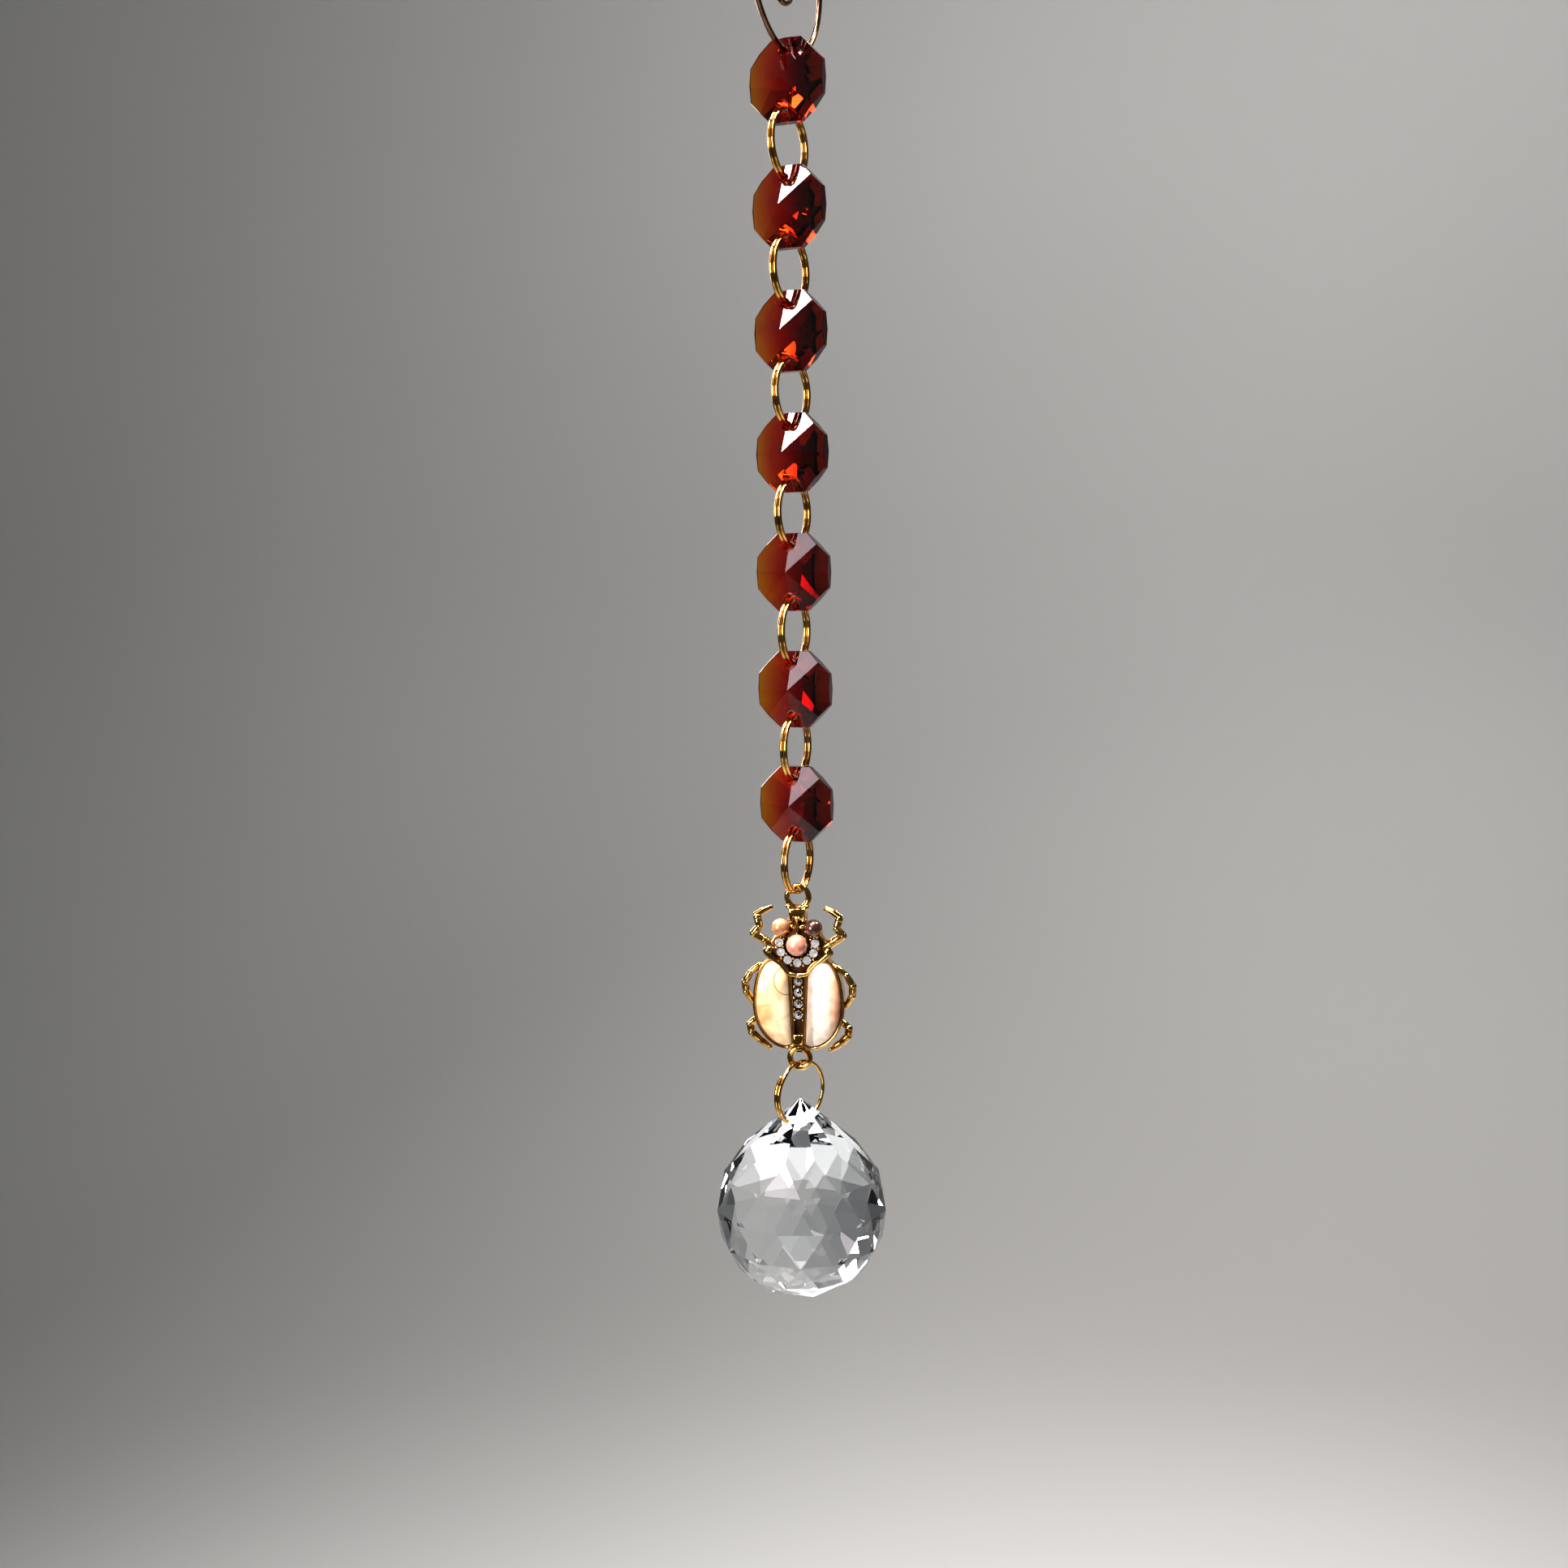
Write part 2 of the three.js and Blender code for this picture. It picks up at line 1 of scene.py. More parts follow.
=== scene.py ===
# %% [markdown]
# # A crystal suncatcher, piece by piece
#
# The real thing is a string of amber glass octagons on gilt rings, with a jewelled beetle charm and
# a clear faceted ball at its end. A measured model already gives every piece its place and size.
# This lesson loads that model and builds a finer surface for each piece where the plain solid is.

# %% Load the measured model
import math
import bmesh
import bpy
from mathutils import Matrix, Vector


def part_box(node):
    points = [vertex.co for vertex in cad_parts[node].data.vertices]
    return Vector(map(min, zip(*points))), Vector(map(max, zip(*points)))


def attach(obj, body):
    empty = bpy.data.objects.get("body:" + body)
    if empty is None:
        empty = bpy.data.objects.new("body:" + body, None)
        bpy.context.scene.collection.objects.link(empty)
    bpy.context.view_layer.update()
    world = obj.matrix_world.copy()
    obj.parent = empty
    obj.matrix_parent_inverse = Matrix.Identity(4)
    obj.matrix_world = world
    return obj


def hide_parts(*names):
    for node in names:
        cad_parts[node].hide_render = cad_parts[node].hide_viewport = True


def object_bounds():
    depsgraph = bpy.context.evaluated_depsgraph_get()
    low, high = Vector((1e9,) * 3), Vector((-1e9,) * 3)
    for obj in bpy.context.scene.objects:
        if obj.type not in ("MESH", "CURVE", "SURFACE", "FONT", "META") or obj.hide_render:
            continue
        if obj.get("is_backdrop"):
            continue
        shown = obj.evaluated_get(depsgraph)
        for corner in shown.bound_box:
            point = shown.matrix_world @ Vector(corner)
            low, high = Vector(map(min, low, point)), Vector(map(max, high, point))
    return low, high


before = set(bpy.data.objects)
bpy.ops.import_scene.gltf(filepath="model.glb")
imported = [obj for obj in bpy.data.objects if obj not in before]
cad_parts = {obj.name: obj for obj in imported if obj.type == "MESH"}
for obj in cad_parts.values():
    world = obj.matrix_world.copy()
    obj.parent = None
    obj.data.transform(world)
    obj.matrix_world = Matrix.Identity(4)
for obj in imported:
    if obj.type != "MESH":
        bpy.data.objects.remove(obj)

cad_low, cad_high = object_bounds()
scene = bpy.context.scene
print("measured model:", len(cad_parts), "pieces,",
      [round(1000 * (b - a), 1) for a, b in zip(cad_low, cad_high)], "mm")

# %% [markdown]
# ## Places, read from the measured pieces
#
# Nothing is typed in twice if it can be read. Each measured piece has a box, and its middle or its
# top says where the finer piece goes. All shapes below are drawn in millimetres and scaled once.

# %% Millimetres and the places of the pieces
MM = 0.001


def box_mm(node):
    low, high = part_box(node)
    return low / MM, high / MM


def middle_height(node):
    low, high = box_mm(node)
    return (low.z + high.z) / 2


BEADS = 7
bead_heights = [middle_height(f"octagon_bead_{k + 1}") for k in range(BEADS)]
bead_pitch = bead_heights[0] - bead_heights[1]
ring_heights = [z - bead_pitch / 2 for z in bead_heights]
hanger_height = middle_height("hanging_ring")
beetle_top = box_mm("scarab_body")[1].z
ball_top = box_mm("crystal_ball")[1].z
print("beads are", round(bead_pitch, 2), "mm apart; beetle from", round(beetle_top, 1),
      "and ball from", round(ball_top, 1), "mm")

# %% [markdown]
# ## Small turns
#
# A chain never hangs quite square, so each piece has a turn of a few degrees about the vertical.
# The turned pieces catch the light one after the other, and that is what makes the string lively.

# %% Turn of each piece about the vertical, in degrees
BEAD_TURNS = [0, -4, -4, -4, 2, 3, 3]
RING_TURNS = [-4, -3.5, -3, -1, 2.5, 3.5, 2]
BEETLE_TURN = 14
BALL_TURN = -20.5


def stand_at(height, turn=0):
    return Matrix.Translation((0, 0, height)) @ Matrix.Rotation(math.radians(turn), 4, "Z")


# %% [markdown]
# ## From a drawn shape to a piece
#
# Every piece goes through the same few steps: the drawn mesh gets its place, is scaled to metres
# and shaded smooth except at edges sharper than a chosen angle, and then it stands for its measured
# solid. One function holds these steps, so the cells below only have to draw.

# %% Make a piece from a drawn mesh
def make_piece(name, bm, place, materials, nodes, sharp=30):
    bmesh.ops.recalc_face_normals(bm, faces=bm.faces)
    mesh = bpy.data.meshes.new(name)
    bm.to_mesh(mesh)
    bm.free()
    mesh.transform(Matrix.Scale(MM, 4) @ place)
    mesh.polygons.foreach_set("use_smooth", [True] * len(mesh.polygons))
    mesh.set_sharp_from_angle(angle=math.radians(sharp))
    piece = bpy.data.objects.new(name, mesh)
    scene.collection.objects.link(piece)
    for material in materials:
        mesh.materials.append(material)
    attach(piece, "root")
    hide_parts(*nodes)
    return piece


# %% [markdown]
# ## A kit for node materials
#
# Real finishes are never one flat colour. Four helpers start a material, place and join a node, lay
# out a ramp of colours and set plain values, so that each material below reads like a short recipe:
# where on the piece, which pattern, which colours.

# %% Helpers for node materials
def start_material(name):
    material = bpy.data.materials.new(name)
    material.use_nodes = True
    tree = material.node_tree
    return material, tree, tree.nodes["Principled BSDF"]


def add(tree, kind, inputs=None, **settings):
    node = tree.nodes.new(kind)
    for key, value in settings.items():
        setattr(node, key, value)
    for key, value in (inputs or {}).items():
        if isinstance(value, bpy.types.NodeSocket):
            tree.links.new(value, node.inputs[key])
        else:
            node.inputs[key].default_value = value
    return node


def ramp(tree, factor, stops, mode="LINEAR"):
    node = add(tree, "ShaderNodeValToRGB", {"Fac": factor})
    node.color_ramp.interpolation = mode
    elements = node.color_ramp.elements
    elements[0].position, elements[1].position = stops[0][0], stops[-1][0]
    for position, _ in stops[1:-1]:
        elements.new(position)
    for element, (_, colour) in zip(elements, stops):
        element.color = (*colour, 1)
    return node.outputs["Color"]


def set_plain(shader, **values):
    """Plain values on the shader itself: a space in a socket's name is written as a _."""
    for key, value in values.items():
        shader.inputs[key.replace("_", " ")].default_value = value


# %% [markdown]
# ## Gilt and bronze wire
#
# The small rings and the casting are gilt: polished, yellow, with faint drawing marks and soft
# dulling where fingers touch them. The big ring is darker bronze. Both are metals, so the colour is
# what they reflect with. Noise in the piece's own space shifts colour and roughness a little, and a
# very fine bump breaks up the highlights as real polishing does. The hollows and gaps of the
# casting get a dark brown metal as painted shade.

# %% Metal recipe
CLOUDS_PER_METRE, MARKS_PER_METRE = 300.0, 3600.0


def metal(name, dark, light, rough_low, rough_high):
    material, tree, shader = start_material(name)
    where = add(tree, "ShaderNodeTexCoord").outputs["Object"]
    cloud = add(tree, "ShaderNodeTexNoise", {
        "Vector": where, "Scale": CLOUDS_PER_METRE, "Detail": 4.0})
    fine = add(tree, "ShaderNodeTexNoise", {
        "Vector": where, "Scale": MARKS_PER_METRE, "Detail": 3.0})
    colour = ramp(tree, cloud.outputs["Fac"], [(0.3, dark), (0.72, light)])
    tree.links.new(colour, shader.inputs["Base Color"])
    rough = add(tree, "ShaderNodeMapRange", {
        "Value": cloud.outputs["Fac"], "From Min": 0.3, "From Max": 0.7,
        "To Min": rough_low, "To Max": rough_high})
    tree.links.new(rough.outputs["Result"], shader.inputs["Roughness"])
    relief = add(tree, "ShaderNodeBump", {
        "Height": fine.outputs["Fac"], "Strength": 0.02, "Distance": 0.0002})
    tree.links.new(relief.outputs["Normal"], shader.inputs["Normal"])
    set_plain(shader, Metallic=1.0)
    return material


# %% Gilt, bronze and the painted shade of the hollows
gilt = metal("gilt", (0.34, 0.155, 0.026), (0.76, 0.45, 0.12), 0.06, 0.13)
bronze = metal("bronze_wire", (0.09, 0.040, 0.018), (0.20, 0.10, 0.05), 0.12, 0.22)
# A dark brown metal for the casting's hollows and gaps: painted shade.
recess_shade = metal("painted_recess_shade", (0.020, 0.008, 0.005), (0.085, 0.034, 0.016), 0.28, 0.45)
print("metals:", gilt.name, bronze.name, recess_shade.name)

# %% [markdown]
# ## Round wire along a path
#
# A wire is a small circle carried along a curve. The circle must not spin on its way, so each frame
# is the last one turned by the least angle. The ends are cut and slightly rounded, as pliers and a
# file leave them, because the scroll and the ball's ring show theirs.

# %% Directions along a path, and faces between rows of corners
def directions(points, closed):
    count = len(points)
    for k in range(count):
        before = points[(k - 1) % count] if closed or k else points[0]
        after = points[(k + 1) % count] if closed or k + 1 < count else points[-1]
        yield (after - before).normalized()


def skin(bm, rows):
    for low, high in zip(rows, rows[1:]):
        for n in range(len(low)):
            m = (n + 1) % len(low)
            bm.faces.new((low[n], low[m], high[m], high[n]))


# %% Sweep a round wire along points
END_INSET, END_BULGE = 0.25, 0.22


def sweep(bm, points, radius, sides=16, closed=False, flatten=1.0, front=None):
    radii = radius if isinstance(radius, list) else [radius] * len(points)
    tangents = list(directions(points, closed))
    side = tangents[0].orthogonal().normalized()
    rows = []
    for k, (point, tangent) in enumerate(zip(points, tangents)):
        if k:
            side = tangents[k - 1].rotation_difference(tangent) @ side
        if front:
            side = tangent.cross(Vector(front)).normalized()
        up = tangent.cross(side).normalized()
        row = []
        for n in range(sides):
            a = 2 * math.pi * n / sides
            offset = side * math.cos(a) + up * math.sin(a) * flatten
            row.append(bm.verts.new(point + offset * radii[k]))
        rows.append(row)
    if closed:
        rows.append(rows[0])
    else:
        first = capped(bm, rows[0], points[0], -tangents[0] * radii[0])
        last = capped(bm, rows[-1], points[-1], tangents[-1] * radii[-1])
        bm.faces.new(first[::-1])
        bm.faces.new(last)
        rows = [first, *rows, last]
    skin(bm, rows)


def capped(bm, row, middle, outward):
    return [bm.verts.new(v.co.lerp(middle, END_INSET) + outward * END_BULGE) for v in row]


# %% [markdown]
# ## The hanging ring and its scroll
#
# One piece of bronze wire: it runs once round as the big ring, closes on itself and rolls inwards
# to a small scroll in the middle. A bent curve object could do it, but a swept mesh lets the roll
# be given as a formula, the same one that the measured piece follows.

# %% The path of the hanging ring
HANGER_WIRE = 1.0
HANGER_MEAN = 14.0
SCROLL_MEAN, SCROLL_SHIFT = 3.75, Vector((0, -1.3, -2.4))
WIRE_ENDS_AT = 42
SCROLL_SWEEP, SCROLL_SETTLES = 380, 0.29


def smooth(x, low, high):
    t = min(1.0, max(0.0, (x - low) / (high - low)))
    return t * t * (3 - 2 * t)


def on_ring(radius, degrees, sideways=0.0):
    a = math.radians(degrees)
    return Vector((sideways, -radius * math.sin(a), radius * math.cos(a)))


def scroll_point(t):
    inward = smooth(t, 0, SCROLL_SETTLES)
    point = on_ring(HANGER_MEAN + (SCROLL_MEAN - HANGER_MEAN) * inward,
                    WIRE_ENDS_AT + SCROLL_SWEEP * t)
    return point + SCROLL_SHIFT * inward


# %% Hanging ring in one wire
bm = bmesh.new()
once_round = [on_ring(HANGER_MEAN, WIRE_ENDS_AT + 360 - 3 * k) for k in range(120)]
wire_path = once_round + [scroll_point(k / 110) for k in range(111)]
sweep(bm, wire_path, HANGER_WIRE / 2, sides=20)
hanging_ring = make_piece("wire_hanging_ring", bm, stand_at(hanger_height), [bronze],
                          ["hanging_ring"], sharp=50)
print("hanging ring:", len(hanging_ring.data.polygons), "faces")

# %% [markdown]
# ## Split rings
#
# A split ring is one gilt wire wound nearly twice round, the two turns lying side by side, with a
# step where the wire climbs from one turn to the other. The step and both cut ends have slipped
# into the hole of the bead above, as they do on a worn chain, so only the double line of wire
# shows. Two plain rings would look alike from afar, but a single swept wire has the true step.

# %% Seven split rings
RING_WIRE = 0.7
RING_MEAN = 6.0
TURN_STEP = 0.75
HALF_STEP_ANGLE = 15


def split_ring_points():
    points = []
    for k in range(221):
        angle = HALF_STEP_ANGLE + (720 - 2 * HALF_STEP_ANGLE) * k / 220
        climbed = smooth(angle - 360, -HALF_STEP_ANGLE, HALF_STEP_ANGLE)
        points.append(on_ring(RING_MEAN, angle, TURN_STEP * (climbed - 0.5)))
    return points


for k in range(BEADS):
    bm = bmesh.new()
    sweep(bm, split_ring_points(), RING_WIRE / 2, sides=14)
    make_piece(f"gilt_split_ring_{k + 1}", bm, stand_at(ring_heights[k], RING_TURNS[k]), [gilt],
               [f"split_ring_{k + 1}"], sharp=50)
print("split rings at", [round(z, 1) for z in ring_heights], "mm")

# %% [markdown]
# ## Amber glass
#
# The beads are clear glass stained through. Their tint runs from amber at the left to a deep maroon
# at the right and turns redder again at the far right edge; this run across the bead is painted
# light and shade, amber where the light gets in, maroon on the shaded side and a painted glint at
# the edge.
# Glass needs plain values for see-through and bend, set on the shader itself. Only its tint comes
# from
# nodes: a slow ramp across the bead, drawn out by a little noise so that the change of colour
# follows no straight line. The ramp runs square to a look at the chain from 26 degrees round to the
# right, the side that the lamps and the camera below are placed from too.

# %% Amber glass recipe
VIEW_AROUND = 26.0
LIT_SIDE_ACROSS = (math.cos(math.radians(VIEW_AROUND)), math.sin(math.radians(VIEW_AROUND)), 0)
LIT_SIDE_REACH = 0.0078


def amber_glass(name, stops):
    material, tree, shader = start_material(name)
    where = add(tree, "ShaderNodeTexCoord").outputs["Object"]
    noise = add(tree, "ShaderNodeTexNoise", {"Vector": where, "Scale": 220.0, "Detail": 2.0})
    # Across the bead from the lit left to the shaded right: painted light and shade.
    across = add(tree, "ShaderNodeVectorMath", {0: where, 1: LIT_SIDE_ACROSS}, operation="DOT_PRODUCT")
    place = add(tree, "ShaderNodeMapRange", {
        "Value": across.outputs["Value"], "From Min": -LIT_SIDE_REACH, "From Max": LIT_SIDE_REACH,
        "To Min": -0.10, "To Max": 0.90})
    soft = add(tree, "ShaderNodeMath", {0: noise.outputs["Fac"], 1: 0.20}, operation="MULTIPLY")
    mixed = add(tree, "ShaderNodeMath", {0: place.outputs["Result"], 1: soft.outputs[0]},
                operation="ADD")
    tree.links.new(ramp(tree, mixed.outputs[0], stops), shader.inputs["Base Color"])
    set_plain(shader, Transmission_Weight=1.0, Roughness=0.0, IOR=1.52, Specular_IOR_Level=0.5)
    return material


# Amber at the lit left, near black maroon at the shaded right, redder at the edge: painted light,
# shade and glint.
amber = amber_glass("amber_glass", [
    (0.06, (0.58, 0.200, 0.003)), (0.28, (0.48, 0.048, 0.001)), (0.42, (0.34, 0.004, 0.0006)),
    (0.54, (0.165, 0.0006, 0.0006)), (0.74, (0.020, 0.0003, 0.0006)),
    (1.0, (0.14, 0.001, 0.003))])
print("glass:", amber.name)

# %% [markdown]
# ## Octagon beads
#
# Each face of a bead is a low pyramid of eight kites that meet in a point. A convex hull of the
# corner points gives exactly these cuts. Then the edges round the outside get a hair of bevel,
# because ground glass never has a perfect edge, and the thin bevel is what sparkles. The two holes
# are cut last, with round cutters, so that they keep a crisp rim.

# %% Cut facets with a hull
def hull(points):
    bm = bmesh.new()
    for p in points:
        bm.verts.new(p)
    result = bmesh.ops.convex_hull(bm, input=bm.verts)
    loose = [v for v in result["geom_interior"] if isinstance(v, bmesh.types.BMVert)]
    bmesh.ops.delete(bm, geom=loose, context="VERTS")
    bmesh.ops.dissolve_limit(bm, angle_limit=math.radians(1), verts=bm.verts, edges=bm.edges)
    return bm


# %% Drill holes with round cutters
def cutter(radius, length, place):
    bm = bmesh.new()
    bmesh.ops.create_cone(bm, cap_ends=True, segments=48, radius1=radius, radius2=radius,
                          depth=length, matrix=place)
    for face in bm.faces:
        face.material_index = 1
    return bm


def temporary(bm):
    mesh = bpy.data.meshes.new("temporary")
    bm.to_mesh(mesh)
    bm.free()
    mesh.materials.append(None)
    mesh.materials.append(None)
    obj = bpy.data.objects.new("temporary", mesh)
    scene.collection.objects.link(obj)
    return obj


def drilled(bm, cutters, matt_glowing_bore=False):
    """The body with its holes. Flagged bore walls keep the second finish, matt with painted glow.
    """
    body = temporary(bm)
    tools = [temporary(c) for c in cutters]
    for tool in tools:
        cut = body.modifiers.new("drill", "BOOLEAN")
        cut.operation, cut.solver, cut.object = "DIFFERENCE", "EXACT", tool
    bpy.context.view_layer.update()
    done = bmesh.new()
    done.from_object(body, bpy.context.evaluated_depsgraph_get())
    for obj in [body, *tools]:
        bpy.data.objects.remove(obj)
    if not matt_glowing_bore:
        for face in done.faces:
            face.material_index = 0
    return done


# %% Corners of a bead
BEAD_ACROSS, BEAD_THICK, BEAD_RIM = 14.0, 7.8, 2.0


def bead_points():
    half = BEAD_ACROSS / 2
    corner = half / math.cos(math.pi / 8)
    slope = (BEAD_THICK - BEAD_RIM) / 2 / (half * math.cos(math.pi / 8))
    points = []
    low = BEAD_THICK / 2 - slope * corner
    for face in (-1, 1):
        points.append((0, face * BEAD_THICK / 2, 0))
        for k in range(8):
            a, b = k * math.pi / 4, (k + 0.5) * math.pi / 4
            points.append((half * math.cos(a), face * BEAD_RIM / 2, half * math.sin(a)))
            points.append((corner * math.cos(b), face * low, corner * math.sin(b)))
    return points


# %% Seven amber beads
BEAD_BEVEL = 0.07
HOLE_FROM_CENTRE, HOLE_RADIUS = 4.6, 0.98


def bead_mesh():
    bm = hull(bead_points())
    rim = [e for e in bm.edges if all(abs(v.co.y) < BEAD_THICK / 2 - 0.1 for v in e.verts)]
    bmesh.ops.bevel(bm, geom=rim, offset=BEAD_BEVEL, segments=1, affect="EDGES", profile=0.5)
    along_y = Matrix.Rotation(math.radians(90), 4, "X")
    return drilled(bm, [cutter(HOLE_RADIUS, 20, Matrix.Translation((0, 0, z)) @ along_y)
                        for z in (-HOLE_FROM_CENTRE, HOLE_FROM_CENTRE)])


cut_bead = bead_mesh()
for k in range(BEADS):
    bead = make_piece(f"amber_bead_{k + 1}", cut_bead.copy(),
                      stand_at(bead_heights[k], BEAD_TURNS[k]), [amber],
                      [f"octagon_bead_{k + 1}"], sharp=8)
print("bead:", len(bead.data.polygons), "faces")

# %% [markdown]
# ## The beetle's own drawing board
#
# The charm is drawn lying flat: x across, y up its length from the top loop, z towards the viewer.
# Its outlines are in hundredths of its 36 mm length, the way a carver would divide it. One matrix
# stands it up, turns it and hangs it from the last split ring.

# %% Drawing in hundredths of the beetle's length
LENGTH = 36.0
SHARE = LENGTH / 100
PLATE, FLOOR, THORAX, RIM_TOP, HEAD = 1.2, 1.5, 2.0, 2.4, 2.6
beetle_place = (stand_at(beetle_top, BEETLE_TURN) @ Matrix.Rotation(math.radians(90), 4, "X")
                @ Matrix.Translation((0, 0, -PLATE)))


def at(across, down, z=0.0):
    return Vector((across * SHARE, -down * SHARE, z))


def both_sides(points):
    return list(points) + [Vector((-p.x, p.y, p.z)) for p in reversed(points)]


# %% [markdown]
# ## Shapes for the casting
#
# A caster's wax model is built from a few kinds of lumps: flat slabs with softened edges, balls,
# and thick rods that swell at their joints. They overlap and melt into one, so here they are simply
# drawn through each other. The smallest ones, the beads of metal that hold the stones, matter most
# for the look, because each of them carries its own point of light.

# %% Slabs with softened edges
def merge(bm, part):
    mesh = bpy.data.meshes.new("part")
    part.to_mesh(mesh)
    part.free()
    bm.from_mesh(mesh)
    bpy.data.meshes.remove(mesh)


def slab(bm, outline, low, high, soften=0.18, shade_on_top=False):
    part = bmesh.new()
    base = [part.verts.new((p.x, p.y, low)) for p in outline]
    face = part.faces.new(base)
    raised = bmesh.ops.extrude_face_region(part, geom=[face])["geom"]
    lifted = [v for v in raised if isinstance(v, bmesh.types.BMVert)]
    bmesh.ops.translate(part, verts=lifted, vec=(0, 0, high - low))
    bmesh.ops.recalc_face_normals(part, faces=part.faces)
    top = [e for e in part.edges if all(abs(v.co.z - high) < 1e-5 for v in e.verts)]
    if soften:
        bmesh.ops.bevel(part, geom=top, offset=soften, segments=3, affect="EDGES", profile=0.5)
    # Top faces get the second finish, a painted shade.
    for face in part.faces:
        if shade_on_top and all(v.co.z > high - 1e-4 for v in face.verts):
            face.material_index = 1
    merge(bm, part)


# %% Balls and jointed rods
LIMB_STEPS = 6


def ball(bm, centre, radius, stretch=(1, 1, 1), rows=14, turn=0.0):
    place = (Matrix.Translation(centre) @ Matrix.Rotation(math.radians(turn), 4, "Z")
             @ Matrix.Diagonal((*stretch, 1)))
    bmesh.ops.create_uvsphere(bm, u_segments=2 * rows, v_segments=rows, radius=radius,
                              matrix=place)


def limb(bm, points, radii, bulge, flatten=1.0, sides=14):
    fine, thick = [], []
    for k in range(len(points) - 1):
        for n in range(LIMB_STEPS):
            t = n / LIMB_STEPS
            fine.append(points[k].lerp(points[k + 1], t))
            swell = 1 + bulge * math.sin(math.pi * t)
            thick.append((radii[k] + (radii[k + 1] - radii[k]) * t) * swell)
    fine.append(points[-1])
    thick.append(radii[-1])
    sweep(bm, fine, thick, sides=sides, flatten=flatten, front=(0, 0, 1))


# %% [markdown]
# ## Outline of a wing case
#
# Both wing cases share one outline: nearly straight along the spine and round outside. It is drawn
# once with three curves, mirrored for the other side, and moved outwards a little for its rims.

# %% Wing outline and its offsets
def bezier(a, b, c, d, steps):
    for k in range(1, steps + 1):
        t = k / steps
        yield (a * (1 - t) ** 3 + b * 3 * t * (1 - t) ** 2 + c * 3 * t * t * (1 - t) + d * t ** 3)


CURVE_STEPS = 26
SPINE_LOW, SPINE_HIGH = at(3.8, 85.0), at(5.3, 48.9)
SHOULDER, WAIST, TAIL = at(13.0, 41.1), at(22.4, 64.4), at(6.1, 86.1)


def wing_outline():
    points = [SPINE_LOW.lerp(SPINE_HIGH, k / CURVE_STEPS) for k in range(CURVE_STEPS + 1)]
    points += bezier(SPINE_HIGH, at(6.4, 44.2), at(9.4, 41.1), SHOULDER, CURVE_STEPS)
    points += bezier(SHOULDER, at(19.2, 41.1), at(22.4, 53.3), WAIST, CURVE_STEPS)
    points += bezier(WAIST, at(22.4, 76.7), at(14.4, 86.1), TAIL, CURVE_STEPS)
    return points


def moved_out(points, distance):
    """The outline, clockwise as drawn, moved outwards by a distance."""
    out = []
    for k, p in enumerate(points):
        before, after = points[k - 1], points[(k + 1) % len(points)]
        along = (after - before).normalized()
        out.append(p + Vector((-along.y, along.x, 0)) * distance)
    return out


def facing(points, side, height=0.0):
    """The same points for one side of the charm, 1 right or -1 left, at one height."""
    return [Vector((side * p.x, p.y, height)) for p in points]


wing = wing_outline()
print("wing outline:", len(wing), "points")

# %% [markdown]
# ## The gilt casting
#
# Now the casting itself, from the back plate forwards. The rims round the wing cases are a wall
# with a rounded lip and, inside it, a gap with painted shade before the shell begins, so the lip
# is its own wire.
# The spine is a channel between the rims. The head is a small block with a hollow, a stem down its
# middle and oval beads beside it. A thick V-shaped band divides head and wings.

# %% Plates, rims and channel
PLATE_OUT, LIP_OUT, WALL_OUT, WALL_IN = 0.62, 0.42, 0.66, 0.30
LIP_RADIUS, WALL_FOOT, WALL_TOP = 0.28, 0.3, RIM_TOP - 0.3

casting = bmesh.new()
# The plates' tops, seen in the gaps inside the rims, carry painted shade.
for side in (1, -1):
    slab(casting, facing(moved_out(wing, PLATE_OUT), side), 0.0, PLATE, soften=0.0, shade_on_top=True)
    lip = facing(moved_out(wing, LIP_OUT), side, RIM_TOP - LIP_RADIUS)
    sweep(casting, lip, LIP_RADIUS, sides=12, closed=True)
    wall, inner = moved_out(wing, WALL_OUT), moved_out(wing, WALL_IN)
    levels = (wall, WALL_FOOT), (wall, WALL_TOP), (inner, WALL_TOP), (inner, PLATE)
    skin(casting, [[casting.verts.new(p) for p in facing(ring, side, z)] for ring, z in levels])
# The spine channel's floor carries painted shade.
slab(casting, both_sides([at(3.2, 90), at(5.2, 44)]), 0.0, FLOOR, soften=0.0, shade_on_top=True)
slab(casting, both_sides([at(2.3, 85.6), at(2.7, 79.9)]), 0.0, HEAD, soften=0.22)
print("plates and rims:", len(casting.faces), "faces")

# %% Head and neck
neck = [at(4.8, 49.0), at(16.6, 37.6), at(14.6, 30.6), at(11.0, 25.4), at(5.4, 24.6),
        at(4.2, 19.0)]
# The neck's top, the hollow below the head, carries painted shade.
slab(casting, both_sides(neck), 0.0, THORAX - 0.25, soften=0.3, shade_on_top=True)
head = [at(4.7, 18.8), at(4.2, 15.0), at(4.7, 12.4)]
slab(casting, both_sides(head), 0.0, HEAD + 0.2, soften=0.45)
stem = [at(0, 17.0, 2.7), at(0, 19.4, 2.6), at(0, 27.8, 2.3)]
limb(casting, stem, [0.75, 0.26, 0.26], bulge=0.0)

